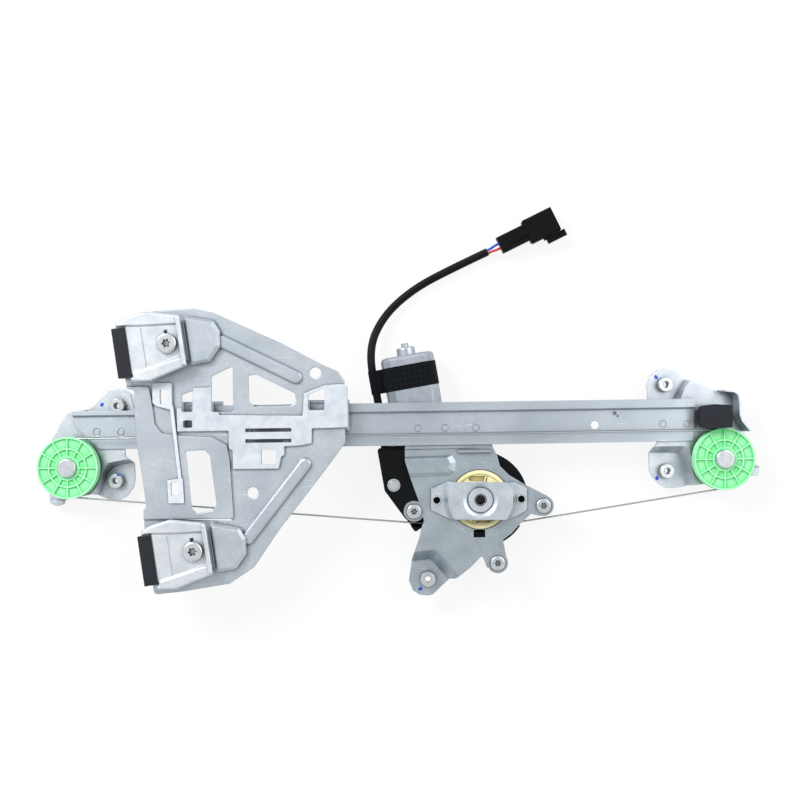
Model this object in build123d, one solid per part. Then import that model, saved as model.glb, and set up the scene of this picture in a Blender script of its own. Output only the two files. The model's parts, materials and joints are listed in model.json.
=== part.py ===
from build123d import *
import math
import os

# Motorised cable window regulator for a rear door, laid flat with the glass side up.
# Z is up, X runs along the guide rail from the glass-up end to the glass-down end.
# The origin is on the floor, in the middle of the footprint without the pigtail.
# Rail-borne pieces are drawn at the crown of the bowed rail, then swung along it.

# Middle of the footprint, seen from the crown of the rail
FOOT_X = -0.84
FOOT_Y = -23.32
FOOT_Z = -0.5

# Guide rail, a stepped strip bent to the bow of the door glass
RAIL_RADIUS = 1500.0
CROWN_Z = 40.0
RAIL_SHEET = 1.5
RAIL_TOP_Y = 17.5
RAIL_STEP_Y = 9.5
RAIL_BOTTOM_Y = -18.0
CABLE_Y = -8.9
UPPER_RISE = 3.0
LOWER_DROP = 2.0
LIP_DEPTH = 4.5
CLINCH_MARKS = [
    (-256.5, -3.8), (-235.1, -4.0), (14.5, -4.2), (36.9, -4.2), (62.5, -4.2), (220.4, -3.6),
    (242.1, -4.0),
]
RAIL_LEFT = -277.0
RAIL_RIGHT = 248.0
RELIEF_LEFT = -205.0
RELIEF_DEPTH = 3.5

# Steel cable and its pulleys
CABLE_R = 0.75
CABLE_LIFT = 4.0
CABLE_SEAT = 0.15
PULLEY_LEFT_X = RAIL_LEFT - 1.8
PULLEY_RIGHT_X = RAIL_RIGHT + 22.4
PULLEY_PITCH_R = 24.4
PULLEY_OUTER_R = 26.0
PULLEY_WIDTH = 9.0
PULLEY_HUB_R = 10.5
PULLEY_RIBS = 12
PULLEY_TILT = 4.5
PULLEY_RISE = 3.0
RIVET_R = 5.0
RIVET_HEAD_R = 8.0
RIVET_HEAD = 2.6
RUN_GAP = 0.3
SEAT_DEPTH = 8.0

# End brackets, drawn about their own place on the rail
LEFT_BRACKET_ARC = RAIL_LEFT + 27.0
RIGHT_BRACKET_ARC = RAIL_RIGHT - 8.0
BRACKET_SHEET = 2.0
EAR_DROP = 10.0
NUT_BORE_R = 2.5
NUT_R = 6.25
NUT_HEIGHT = 6.2

# Carrier plate and its plastic shoe
REST_ARC = -112.0
PLATE_LIFT = 10.0
PLATE_SHEET = 2.0
PLATE_RAISE = 2.0
BEAD_RISE = 3.0
SKIN = 2.5
SHOE_GAP = 0.35
FERRULE_R = 2.0
FERRULE_BORE_R = 1.2
FERRULE_LENGTH = 9.0

# Glass clamps
CLAMP_TURN = 7.8
UPPER_BOLT = (-76.3, 68.8)
LOWER_BOLT = (-57.0, -101.6)
JAW_X = -38.5
JAW_WIDTH = 11.5
JAW_LENGTH = 41.0
BACK_RUBBER = 3.5
GLASS_GAP = 5.0
FRONT_RUBBER = 5.6
CLAMP_SHEET = 2.0
CLAMP_BOLT_R = 3.9
CLAMP_NUT_BORE_R = 4.0
CLAMP_HEAD_R = 8.2
CLAMP_HEAD = 4.6
LIP_X = 18.0

# Drum, worm wheel and their shaft
DRUM_X = 65.3
DRUM_Y = -63.7
DRUM_PITCH_R = 24.0
GROOVE_Z = 26.4
GROOVE_PITCH = 1.8
GROOVES = 4
DRUM_FLANGE_R = 26.0
DRUM_NOSE_R = 24.4
SHAFT_R = 5.0
WHEEL_TIP_R = 33.1
WHEEL_TEETH = 60
TOOTH_DEPTH = 2.2
WHEEL_HALF = 4.0

# Motor and gear housing, drawn along the worm and then turned into place
MOTOR_Z = 17.0
MOTOR_TURN = 99.4
CAN_START = 66.5
CAN_END = 129.3
CAN_WIDTH = 45.0
CAN_HEIGHT = 34.0
CAN_WALL = 1.6
ARMATURE_SHAFT_R = 2.5
WORM_R = 5.3
MESH_GAP = 0.33
ARMATURE_R = 13.0
HOUSING_R = 40.0
HOUSING_BACK = 5.0
HOUSING_FRONT = 33.0
SCREW_R = 2.4
SCREW_HEAD_R = 6.0
SCREW_HEAD = 3.2

# Motor bracket and drum bridge
PLATE_BACK = 33.0
DRUM_OPENING_R = 25.0
BRIDGE_SHEET = 1.6
EYELET_R = 3.4
BRIDGE_RISE = 7.5

# Pigtail
SLEEVE_R = 3.35
WIRE_R = 1.05
PLUG_TURN = 25.7

AXIS_Z = CROWN_Z - RAIL_RADIUS
PLATE_Z = CROWN_Z + PLATE_LIFT
PLATE_TOP = PLATE_Z + PLATE_SHEET
PAD_TOP = PLATE_TOP + BACK_RUBBER
JAW_Z = PAD_TOP + GLASS_GAP
CLAMP_Z = JAW_Z + (FRONT_RUBBER - CLAMP_SHEET) / 2
CLAMP_TOP = CLAMP_Z + CLAMP_SHEET
WORM_REACH = WHEEL_TIP_R + WORM_R + MESH_GAP
WORM_X = DRUM_X - WORM_REACH * math.sin(math.radians(MOTOR_TURN))
WORM_Y = DRUM_Y + WORM_REACH * math.cos(math.radians(MOTOR_TURN))
BRACKET_TOP = CROWN_Z - LOWER_DROP - RAIL_SHEET
GUARD_TOP = BRACKET_TOP + 16.0
EAR_TOP = BRACKET_TOP - EAR_DROP
PLATE_FRONT = PLATE_BACK + BRACKET_SHEET
GROOVE_TOP = GROOVE_Z + GROOVE_PITCH * (GROOVES - 1)
PULLEY_Y = CABLE_Y - PULLEY_PITCH_R


def along_rail(arc):
    """Swing about the rail's far centre, by a length of its front face."""
    turn = math.degrees(arc / RAIL_RADIUS)
    return Pos(0, 0, AXIS_Z) * Rot(0, turn, 0) * Pos(0, 0, -AXIS_Z)


def prism(points, bottom, top, corner=0.0):
    outline = Polyline(*points, close=True)
    face = make_face(outline)
    if corner:
        face = fillet(face.vertices(), corner)
    return Pos(0, 0, bottom) * extrude(face, top - bottom)


def slab(x0, x1, y0, y1, z0, z1):
    middle = Pos((x0 + x1) / 2, (y0 + y1) / 2, (z0 + z1) / 2)
    return middle * Box(x1 - x0, y1 - y0, z1 - z0)


def disc(x, y, radius, bottom, top):
    return Pos(x, y, (bottom + top) / 2) * Cylinder(radius, top - bottom)


def tube(x, y, outer, inner, bottom, top):
    return disc(x, y, outer, bottom, top) - disc(x, y, inner, bottom - 1, top + 1)


def bowed(points, start, end):
    """A section in (y, z above the web's front), swept along the bow of the rail."""
    section = make_face(Polyline(*points, close=True))
    placed = Plane.YZ * (Pos(0, CROWN_Z, 0) * section)
    swept = revolve(placed, Axis((0, 0, AXIS_Z), (0, 1, 0)), math.degrees((end - start) / RAIL_RADIUS))
    return along_rail(start) * swept


def clamp_place(bolt):
    return Pos(bolt[0], bolt[1], 0) * Rot(0, 0, CLAMP_TURN)


def motor_place():
    return Pos(WORM_X, WORM_Y, MOTOR_Z) * Rot(0, 0, MOTOR_TURN)


def rod_along(start, end, radius, side=0.0, height=0.0):
    """A round bar along the motor's axis."""
    return Pos((start + end) / 2, side, height) * Rot(0, 90, 0) * Cylinder(radius, end - start)


def guide_rail():
    t = RAIL_SHEET
    up = UPPER_RISE
    low = -LOWER_DROP
    top = RAIL_TOP_Y
    step = RAIL_STEP_Y
    foot = CABLE_Y + 1.0
    front = [
        (top, up), (step + 1.0, up), (step - 0.5, 0), (foot, 0), (foot - 1.0, low),
        (RAIL_BOTTOM_Y, low),
    ]
    back = [
        (RAIL_BOTTOM_Y, low - t), (foot - 0.07, low - t), (foot + 0.93, -t), (step + 0.43, -t),
    ]
    lip = [
        (step + 1.93, up - t), (top - t, up - t), (top - t, up - LIP_DEPTH), (top, up - LIP_DEPTH),
    ]
    rail = bowed(front + back + lip, RAIL_LEFT, RAIL_RIGHT)
    relief = slab(RAIL_LEFT - 5, RELIEF_LEFT, top - RELIEF_DEPTH, top + 5, -20, 60)
    corner = prism(
        [(-290, 3), (-275.5, 3), (-262.5, -10), (-252, -20), (-252, -40), (-290, -40)], -20, 60,
    )
    hole = disc(162.0, -3.3, 3.4, 0, 60)
    rail = rail - relief - corner - hole
    for x, y in CLINCH_MARKS:
        ring = along_rail(x) * Pos(0, y, CROWN_Z) * (Cylinder(3.4, 0.8) - Cylinder(2.2, 0.8))
        rail = rail - ring
    return rail


def pulley_frame(x):
    """A pulley's own frame, leaning outwards with the end of the rail."""
    bow = RAIL_RADIUS + CABLE_LIFT
    height = AXIS_Z + math.sqrt(bow**2 - x**2) + PULLEY_RISE
    lean = math.copysign(PULLEY_TILT, x)
    return Pos(x, PULLEY_Y, height) * Rot(0, lean, 0)


def pulley():
    half = PULLEY_WIDTH / 2
    bottom = PULLEY_PITCH_R - CABLE_R - CABLE_SEAT
    mouth = half - 1.3
    section = [
        (RIVET_R + 0.1, -half), (PULLEY_OUTER_R, -half), (PULLEY_OUTER_R, -mouth), (bottom, -1.1),
        (bottom, 1.1),
    ]
    section += [(PULLEY_OUTER_R, mouth), (PULLEY_OUTER_R, half), (RIVET_R + 0.1, half)]
    wheel = revolve(Plane.XZ * make_face(Polyline(*section, close=True)), Axis.Z, 360)
    recess = tube(0, 0, PULLEY_OUTER_R - 1.5, PULLEY_HUB_R, half - 1.6, half + 1)
    web = 1.1
    for k in range(PULLEY_RIBS):
        rib = slab(PULLEY_HUB_R - 1, PULLEY_OUTER_R - 1, -web / 2, web / 2, half - 2, half)
        recess = recess - Rot(0, 0, k * 360 / PULLEY_RIBS) * rib
    ring = tube(0, 0, 16.6, 15.4, half - 1.6, half)
    return wheel - (recess - ring)


def pulley_rivets():
    half = PULLEY_WIDTH / 2
    shank = disc(0, 0, RIVET_R, -half - SEAT_DEPTH, half + RUN_GAP)
    head = Pos(0, 0, half + RUN_GAP + RIVET_HEAD / 2) * Cylinder(RIVET_HEAD_R, RIVET_HEAD)
    head = fillet(head.edges().group_by(Axis.Z)[-1], 1.4)
    rivet = shank + head
    return [pulley_frame(x) * rivet for x in (PULLEY_LEFT_X, PULLEY_RIGHT_X)]


def clinch_nut(place_x, y, top):
    collar = tube(place_x, y, NUT_R, NUT_BORE_R, top, top + NUT_HEIGHT)
    collar = chamfer(collar.edges().filter_by(GeomType.CIRCLE).group_by(Axis.Z)[-1], 0.5)
    return collar + tube(place_x, y, NUT_R - 1.6, NUT_BORE_R, top - BRACKET_SHEET, top + 0.5)


def folded(levels, x0, x1):
    """Sheet folded across the rail: (y, top z) corners, drawn out along the rail."""
    t = BRACKET_SHEET
    top = [(y, z) for y, z in levels]
    under = [(y, z - t) for y, z in reversed(levels)]
    section = make_face(Polyline(*(top + under), close=True))
    return Pos(x0, 0, 0) * extrude(Plane.YZ * section, x1 - x0)


def pulley_seat(x, arc):
    """Round seat behind a pulley, in its bracket's own frame, with the rivet's hole."""
    half = PULLEY_WIDTH / 2
    local = along_rail(arc).inverse() * pulley_frame(x)
    seat = local * disc(0, 0, 12.0, -half - SEAT_DEPTH, -half - RUN_GAP)
    hole = local * disc(0, 0, RIVET_R, -half - 15, half)
    return seat, hole


def rail_room(arc):
    """Everything in front of the rail's back face, about one place on the rail."""
    seat = -LOWER_DROP - RAIL_SHEET
    return bowed([(-20.5, seat), (60, seat), (60, 40), (-20.5, 40)], arc - 70, arc + 70)


def tapered(floor, mouth, low, high):
    """Solid between two outlines with equal numbers of corners, drawn at two heights."""
    bottom = Pos(0, 0, low) * make_face(Polyline(*floor, close=True))
    top = Pos(0, 0, high) * make_face(Polyline(*mouth, close=True))
    return loft([bottom, top], ruled=True)


def pressed(shape, thickness):
    """Sheet with the relief of a full body: the body less itself, one sheet lower."""
    return shape - Pos(0, 0, -thickness) * shape


def pressed_down(floor, mouth, low, high):
    """Pocket with sloping walls between two outlines, open above."""
    above = Pos(0, 0, high) * extrude(make_face(Polyline(*mouth, close=True)), 5)
    return tapered(floor, mouth, low, high) + above


LEFT_OUTLINE = [
    (-33.1, 12.7), (-19.2, 15), (-14.6, 18.3), (-3.8, 27.5), (-0.2, 31.3), (6.9, 32.5), (14, 31.5),
    (19.3, 28.1), (24.5, 24.6), (24.3, -8), (16.7, -14), (16.7, -24.4), (20.2, -27),
    (21.5, -32.1), (21.7, -44.8), (19.9, -51.5), (14.4, -58.3), (8.2, -61.6), (0.2, -61.6),
    (-6.9, -59), (-13.1, -56.1), (-36.8, -60.9), (-37.8, -64.2), (-42.3, -65.9), (-45.9, -65.1),
    (-50.2, -61.7), (-51, -45), (-51, -28), (-49.5, -11.7), (-44, -4.1), (-40.4, 2.7),
]
LEFT_FLOOR = [
    (60, -28), (27.3, -28.7), (18.4, -30.4), (8.6, -32), (2.4, -34.5), (-2.1, -39.5),
    (-4.9, -47.2), (-7.7, -53.9), (-13.1, -61.6), (-20, -80), (60, -80),
]
LEFT_MOUTH = [
    (60, -20), (29.9, -25), (20.1, -26.6), (10.5, -28.2), (1.7, -29.8), (-2.8, -34.8),
    (-5.6, -42.4), (-8.4, -50), (-14.6, -57.5), (-25, -80), (60, -80),
]
RIGHT_OUTLINE = [
    (-27.7, 16), (-28.4, 29.6), (-25.7, 37.1), (-19.5, 41.7), (-13.3, 43.3), (-7.1, 42),
    (-0.1, 37.7), (6.9, 32.5), (20, 27.6), (26.1, 24.1), (30.6, 24.5), (39.4, 23.5), (42.9, 21),
    (44.1, 15.9), (44.4, 3.2), (46.2, -1.1), (53.2, -9.7), (59, -20), (62, -38), (65.74, -40.4),
    (64.1, -48.8), (57.9, -48.3), (54, -54), (34, -60), (19.8, -54.3), (5.6, -55.7), (2.9, -56.9),
    (-7.6, -57.9), (-13, -57.4), (-19.1, -54.3), (-24.2, -49.1), (-27.3, -42.3), (-27.5, -29.6),
    (-26.6, -22.9), (-23.8, -19.9), (-23.8, -10), (-27.7, 0),
]
RIGHT_UPPER_FLOOR = [
    (5.4, 60), (5.1, 33.4), (2.4, 29.2), (-2.1, 23.3), (-8.3, 14.9), (-11, 11.5), (-60, 11.5),
    (-60, 60),
]
RIGHT_UPPER_MOUTH = [
    (9.0, 60), (7.8, 34.9), (4.2, 29.9), (0.6, 24), (-3.1, 14.8), (-4, 7), (-60, 7), (-60, 60),
]
RIGHT_LOWER_FLOOR = [
    (-60, -26.9), (-2.9, -28), (0.7, -31), (2.8, -37.8), (5.5, -59.9), (5.5, -80), (-60, -80),
]
RIGHT_LOWER_MOUTH = [
    (-60, -22.4), (0, -22.2), (4.3, -24.8), (6, -30.8), (8.2, -59.4), (8.2, -80), (-60, -80),
]
LEFT_NUTS = [(8.6, 18.1), (6.4, -45.2)]
RIGHT_NUTS = [(-13.6, 29.7), (-13.3, -43.2)]


def left_end_bracket():
    top = BRACKET_TOP
    body = prism(LEFT_OUTLINE, 0, top, 2.0)
    fold_floor = [(-19, 11), (80, 11), (80, 60), (-19, 60)]
    fold_mouth = [(-26, 5), (80, 5), (80, 60), (-26, 60)]
    body = body - pressed_down(fold_floor, fold_mouth, EAR_TOP, top)
    body = body - pressed_down(LEFT_FLOOR, LEFT_MOUTH, EAR_TOP, top)
    shape = pressed(body, BRACKET_SHEET)
    seat, rivet = pulley_seat(PULLEY_LEFT_X, LEFT_BRACKET_ARC)
    shape = shape + seat - rivet
    tab = [(-50.2, -61.7), (-45.9, -65.1), (-42.3, -65.9), (-37.8, -64.2), (-36.8, -60.9)]
    shape = shape + prism(tab, top - BRACKET_SHEET, top + 2.4, 0.6)
    for x, y in LEFT_NUTS:
        shape = shape - disc(x, y, NUT_R - 1.6, 0, 60)
    slot = prism([(18.7, 27.5), (20.0, 27.5), (23.2, 15.4), (22.0, 15.2)], 0, 60)
    return along_rail(LEFT_BRACKET_ARC) * (shape - slot) - rail_room(LEFT_BRACKET_ARC)


def right_end_bracket():
    top = BRACKET_TOP
    body = prism(RIGHT_OUTLINE, 0, top, 1.5)
    body = body - pressed_down(RIGHT_UPPER_FLOOR, RIGHT_UPPER_MOUTH, EAR_TOP, top)
    body = body - pressed_down(RIGHT_LOWER_FLOOR, RIGHT_LOWER_MOUTH, EAR_TOP, top)
    shape = pressed(body, BRACKET_SHEET)
    seat, rivet = pulley_seat(PULLEY_RIGHT_X, RIGHT_BRACKET_ARC)
    shape = shape + seat - rivet
    tab = [(57.9, -48.3), (60.7, -42), (65.74, -40.4), (64.1, -48.8)]
    shape = shape + prism(tab, top - BRACKET_SHEET, top + 2.4, 0.6)
    for x, y in RIGHT_NUTS:
        shape = shape - disc(x, y, NUT_R - 1.6, 0, 60)
    placed = along_rail(RIGHT_BRACKET_ARC) * shape - rail_room(RIGHT_BRACKET_ARC)
    return placed + along_rail(RIGHT_BRACKET_ARC) * guard_wall()


def guard_wall():
    """Turned-up edge of the bracket that keeps the cable beside its pulley."""
    outer = [
        (30.6, 24.5), (39.4, 23.5), (42.9, 21), (44.1, 15.9), (44.4, 3.2), (46.2, -1.1),
        (53.2, -9.7),
    ]
    inner = [
        (52.3, -10.5), (45.1, -1.8), (43.2, 2.9), (42.9, 15.7), (41.9, 20.2), (38.9, 22.3),
        (30.5, 23.3),
    ]
    return prism(outer + inner, BRACKET_TOP - BRACKET_SHEET, GUARD_TOP)


def clinch_nuts():
    nuts = []
    for x, y in LEFT_NUTS:
        nuts.append(along_rail(LEFT_BRACKET_ARC) * clinch_nut(x, y, EAR_TOP))
    for x, y in RIGHT_NUTS:
        nuts.append(along_rail(RIGHT_BRACKET_ARC) * clinch_nut(x, y, EAR_TOP))
    nuts.append(clinch_nut(MOUNT_EAR[0], MOUNT_EAR[1], MOUNT_EAR[2]))
    return nuts


def end_bumper():
    """Rubber stop over the end of the rail, which the shoe meets when the glass is down."""
    near = RAIL_RIGHT + 2.5
    far = near + 25.5
    outline = [(near, -7.0), (far, -7.0), (far, 11.8), (far - 14, 12.6), (near, 11.4)]
    block = prism(outline, 24.0, 34.5, 1.5)
    base = slab(near, far, -5, 10, 19.0, 24.0)
    under = along_rail(RIGHT_BRACKET_ARC) * slab(-60, 80, -60, 60, 0, BRACKET_TOP)
    return block + base - under


BRACKET_SCREWS = [(10.4, -72.8), (117.8, -69.5), (79.2, -116.5)]
MOUNT_EAR = (21.3, -129.9, 24.0)
MOTOR_OUTLINE = [
    (3.4, -20), (3.4, -30.9), (8.2, -46.7), (13.8, -62.6), (18.5, -80.9), (16.4, -86.5),
    (14.6, -94.1), (8.5, -111.5), (6.3, -125.6), (5.4, -131.4), (8.6, -139.7),
    (14.3, -143.5), (21, -144.14), (25.1, -143.3), (39.4, -130.2), (44.4, -129.4), (56.2, -120.5),
    (66.2, -110.4), (68.4, -115), (70.3, -120.7), (87.4, -115.9), (86.2, -110.1),
    (83.9, -97.6), (91.4, -91.9), (99, -83.7), (107.4, -76.3), (114.9, -78.1), (125.3, -71.6),
    (125, -65), (120.1, -60.8), (102, -51.4), (89.6, -43.7), (82.2, -36.1), (79.9, -27),
    (76.5, -20),
]
MOTOR_EAR_FLOOR = [
    (-20, -116.8), (-6.1, -116.6), (11.5, -114.7), (22.4, -114), (24.9, -115.3), (38.9, -131.4),
    (42.1, -141.5), (42.1, -160), (-20, -160),
]
MOTOR_EAR_MOUTH = [
    (-20, -112.5), (-6, -109.6), (11.5, -106.6), (25.7, -104.7), (29.8, -106), (45.3, -123.6),
    (49.3, -134.5), (49.3, -160), (-20, -160),
]
PAD_FOOT = [
    (-4.8, -27.5), (42.5, -26.5), (45.8, -32.3), (44.8, -40.6), (39.8, -43.9), (-5.1, -45.7),
]
PAD_CREST = [
    (-4.8, -29.1), (38.3, -28.4), (40.7, -33), (39.8, -38), (36.5, -40.4), (-5, -41.5),
]
LUG_R = 8.6


def motor_bracket():
    """Pressed plate on the rail's back: raised pad, dropped ear and seats for the motor."""
    silhouette = prism(MOTOR_OUTLINE, 0, 60, 1.2)
    body = prism(MOTOR_OUTLINE, 0, PLATE_FRONT, 1.2)
    for x, y in BRACKET_SCREWS:
        body = body + disc(x, y, LUG_R, 0, PLATE_FRONT)
    body = body - pressed_down(MOTOR_EAR_FLOOR, MOTOR_EAR_MOUTH, MOUNT_EAR[2], PLATE_FRONT)
    pad = tapered(PAD_FOOT, PAD_CREST, PLATE_FRONT - 0.02, PLATE_FRONT + 2.0)
    shape = pressed(body + (pad & silhouette), BRACKET_SHEET)
    seat = LOWER_DROP + RAIL_SHEET
    strip = [(-7, -seat), (-21, -seat), (-21, -seat - BRACKET_SHEET), (-7, -seat - BRACKET_SHEET)]
    flange = bowed(strip, 3.6, 76.5)
    ramp = slab(3.8, 76.3, -22, -19.5, PLATE_BACK, 34.6)
    shape = shape + flange + ramp
    shape = shape + slab(47, 75.5, -24.6, -22.6, PLATE_FRONT - 0.5, PLATE_FRONT + 2.6)
    shape = shape - disc(DRUM_X, DRUM_Y, DRUM_OPENING_R, 20, 60)
    shape = shape - slab(59.6, 69.2, -95.1, -88.8, 20, 60)
    for x, y in BRACKET_SCREWS:
        shape = shape - disc(x, y, SCREW_R, 20, 60)
    for x in BRIDGE_RIVETS:
        shape = shape - disc(DRUM_X + x, DRUM_Y, EYELET_R, 20, 60)
    return shape - disc(MOUNT_EAR[0], MOUNT_EAR[1], NUT_R - 1.6, 15, 60)


BRIDGE_PLAN = [
    (-40.6, 9.4), (-26.4, 15.4), (29.1, 14.2), (39, 9.1), (38.7, -9.2), (24.5, -16.8),
    (-25.2, -15.7), (-40.9, -8.1),
]
BRIDGE_RIVETS = (-36.0, 34.1)


def drum_bridge():
    """Round-sided strap over the drum with a dished seat for the end of the shaft."""
    t = BRIDGE_SHEET
    base = PLATE_FRONT
    rise = BRIDGE_RISE
    top = base + rise + t
    outer = Pos(0, 0, base + t + rise / 2) * Cone(30, 26.6, rise)
    inner = Pos(0, 0, base + rise / 2) * Cone(29.2, 25.6, rise)
    plan = prism(BRIDGE_PLAN, base, top, 2)
    strap = prism(BRIDGE_PLAN, base, base + t, 2) + (outer & plan) - inner
    strap = strap + disc(0, 0, 15.4, top - t - 2.4, top)
    strap = strap - Pos(0, 0, top - 1.1) * Cone(10, 14.6, 2.6)
    strap = strap + disc(0, 0, 10, top - t - 2.4, top - 0.6)
    strap = strap - disc(0, 0, SHAFT_R + 0.1, 0, 80)
    for x in BRIDGE_RIVETS:
        strap = strap - disc(x, 0, EYELET_R, 0, 80)
    return Pos(DRUM_X, DRUM_Y, 0) * strap


def bridge_rivets():
    """Hollow eyelets that hold the bridge's two feet."""
    eyelets = []
    top = PLATE_FRONT + BRIDGE_SHEET
    for x in BRIDGE_RIVETS:
        stem = tube(DRUM_X + x, DRUM_Y, EYELET_R, 2.9, PLATE_FRONT, top)
        eyelets.append(stem + tube(DRUM_X + x, DRUM_Y, EYELET_R + 0.5, 2.9, top, top + 0.6))
    return eyelets


def six_lobe(x, y, radius, bottom, top):
    """Socket with six round lobes."""
    socket = disc(x, y, radius * 0.74, bottom, top)
    for k in range(6):
        angle = math.radians(k * 60)
        reach = radius * 0.74
        lobe_x = x + reach * math.cos(angle)
        lobe_y = y + reach * math.sin(angle)
        socket = socket + disc(lobe_x, lobe_y, radius * 0.26, bottom, top)
    return socket


def pan_screw(x, y, seat, length):
    head = Pos(x, y, seat + SCREW_HEAD / 2) * Cylinder(SCREW_HEAD_R, SCREW_HEAD)
    head = fillet(head.edges().group_by(Axis.Z)[-1], 1.2)
    head = head - six_lobe(x, y, 2.8, seat + SCREW_HEAD - 2.2, seat + SCREW_HEAD + 1)
    return head + disc(x, y, SCREW_R - 0.05, seat - length, seat + 0.5)


def motor_screws():
    return [pan_screw(x, y, PLATE_FRONT, 14) for x, y in BRACKET_SCREWS]


def cable_drum():
    floor = GROOVE_Z - CABLE_R - 1.05
    rim = floor + 0.7
    nose = PLATE_FRONT - 0.4
    section = [
        (SHAFT_R, floor), (DRUM_FLANGE_R, floor), (DRUM_FLANGE_R, rim), (23.6, rim), (23.6, 32.9),
    ]
    section += [
        (DRUM_NOSE_R, 32.9), (DRUM_NOSE_R, nose), (21.5, nose), (20.5, nose - 1.2),
        (13, nose - 1.2),
    ]
    section += [(12, nose + 3.2), (SHAFT_R, nose + 3.2)]
    drum = revolve(Plane.XZ * make_face(Polyline(*section, close=True)), Axis.Z, 360)
    for k in range(GROOVES):
        drum = drum - Pos(0, 0, GROOVE_Z + k * GROOVE_PITCH) * Torus(DRUM_PITCH_R, CABLE_R + RUN_GAP)
    for side in (90, 270):
        pocket = (
            Rot(0, 0, side)
            * (slab(15, 19.5, -6, 6, nose - 6, nose + 1) + disc(17.2, 7, 2.2, nose - 6, nose + 1))
        )
        drum = drum - pocket
    for k in range(6):
        rib = Rot(0, 0, 15 + k * 60) * slab(12.5, 20.6, -0.6, 0.6, nose - 1.4, nose)
        drum = drum + rib
    return Pos(DRUM_X, DRUM_Y, 0) * drum


def drum_cable_wraps():
    middle = range(1, GROOVES - 1)
    ring = Torus(DRUM_PITCH_R - 0.25, CABLE_R)
    rings = [Pos(DRUM_X, DRUM_Y, GROOVE_Z + k * GROOVE_PITCH) * ring for k in middle]
    return rings


def worm_wheel():
    low = MOTOR_Z - WHEEL_HALF
    high = MOTOR_Z + WHEEL_HALF
    wheel = tube(0, 0, WHEEL_TIP_R, SHAFT_R, low, high)
    gaps = []
    root = WHEEL_TIP_R - TOOTH_DEPTH
    for k in range(WHEEL_TEETH):
        gap = prism(
            [(root, -0.5), (WHEEL_TIP_R + 1, -1.15), (WHEEL_TIP_R + 1, 1.15), (root, 0.5)], low - 1,
            high + 1,
        )
        gaps.append(Rot(0, 0, (k + 0.5) * 360 / WHEEL_TEETH) * gap)
    wheel = wheel - gaps
    wheel = wheel - tube(0, 0, 27, 12, low - 1, low + 2.5)
    return Pos(DRUM_X, DRUM_Y, 0) * wheel


def drum_shaft():
    """Shaft from the case to the bridge, bored out at its end."""
    top = PLATE_FRONT + BRIDGE_RISE + BRIDGE_SHEET - 2.2
    shaft = disc(DRUM_X, DRUM_Y, SHAFT_R, HOUSING_BACK + 3.4, top)
    return shaft - disc(DRUM_X, DRUM_Y, 3.9, top - 12, top + 1)


def housing_outline(bottom, top):
    """Plan of the gear housing: the round wheel case, its neck, wing and screw lugs."""
    wheel = disc(DRUM_X, DRUM_Y, HOUSING_R, bottom, top)
    place = Pos(WORM_X, WORM_Y, 0) * Rot(0, 0, MOTOR_TURN)
    neck = place * slab(-30, 50, -13, 13, bottom, top)
    wing_plan = [(-15, 14), (-17.5, 19), (21, 38), (56, 38), (56, 12), (10, -10), (-20, -12)]
    wing = place * prism(wing_plan, bottom, top, 2)
    lugs = wheel + neck + wing
    for x, y in BRACKET_SCREWS:
        lugs = lugs + disc(x, y, 7.2, bottom, top)
        reach = math.atan2(y - DRUM_Y, x - DRUM_X)
        web = (
            Pos(DRUM_X, DRUM_Y, 0) * Rot(0, 0, math.degrees(reach))
            * slab(30, 54, -6.5, 6.5, bottom, top)
        )
        lugs = lugs + web
    return lugs


def gear_housing():
    shape = housing_outline(8.0, HOUSING_FRONT)
    shape = shape + disc(DRUM_X, DRUM_Y, HOUSING_R - 1, HOUSING_BACK, 8.5)
    mouth = slab(44, 56, -16, 16, -15, 14.4) + slab(56, CAN_START, -19, 19, -16.0, 15.0)
    shape = shape + motor_place() * mouth
    shape = shape - disc(
        DRUM_X, DRUM_Y, WHEEL_TIP_R + 1.2, HOUSING_BACK + 3, MOTOR_Z + WHEEL_HALF + 0.4,
    )
    shape = shape - disc(DRUM_X, DRUM_Y, WHEEL_TIP_R + 3.2, HOUSING_BACK - 1, HOUSING_BACK + 3.01)
    well = GROOVE_Z - CABLE_R - 1.05 - RUN_GAP
    shape = shape - disc(DRUM_X, DRUM_Y, DRUM_FLANGE_R + 1.2, well, HOUSING_FRONT + 1)
    shape = shape - disc(DRUM_X, DRUM_Y, SHAFT_R + 0.1, 0, 60)
    bore = rod_along(-27, 40, WORM_R + 1.2) + rod_along(40, CAN_START + 1, 13.4)
    shape = shape - motor_place() * bore
    for tangent in (LEFT_TANGENT, RIGHT_TANGENT):
        shape = shape - cable_slot(tangent)
    for x, y in BRACKET_SCREWS:
        shape = shape - disc(x, y, SCREW_R, 15, 60)
    collar = (
        Pos(GLAND[0], GLAND[1], GLAND[2]) * Rot(0, 0, MOTOR_TURN) * rod_along(-1, 4, SLEEVE_R + 1.2)
    )
    bore = Pos(GLAND[0], GLAND[1], GLAND[2]) * Rot(0, 0, MOTOR_TURN) * rod_along(0, 6, SLEEVE_R + 0.1)
    return shape + collar - bore


def cable_slot(tangent):
    """Window in the case wall that lets one cable out towards its pulley."""
    x, y, z, angle = tangent
    channel = slab(-4, 75, -3, 3, GROOVE_Z - 3, HOUSING_FRONT + 1)
    return Pos(x, y, 0) * Rot(0, 0, angle) * channel


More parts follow.
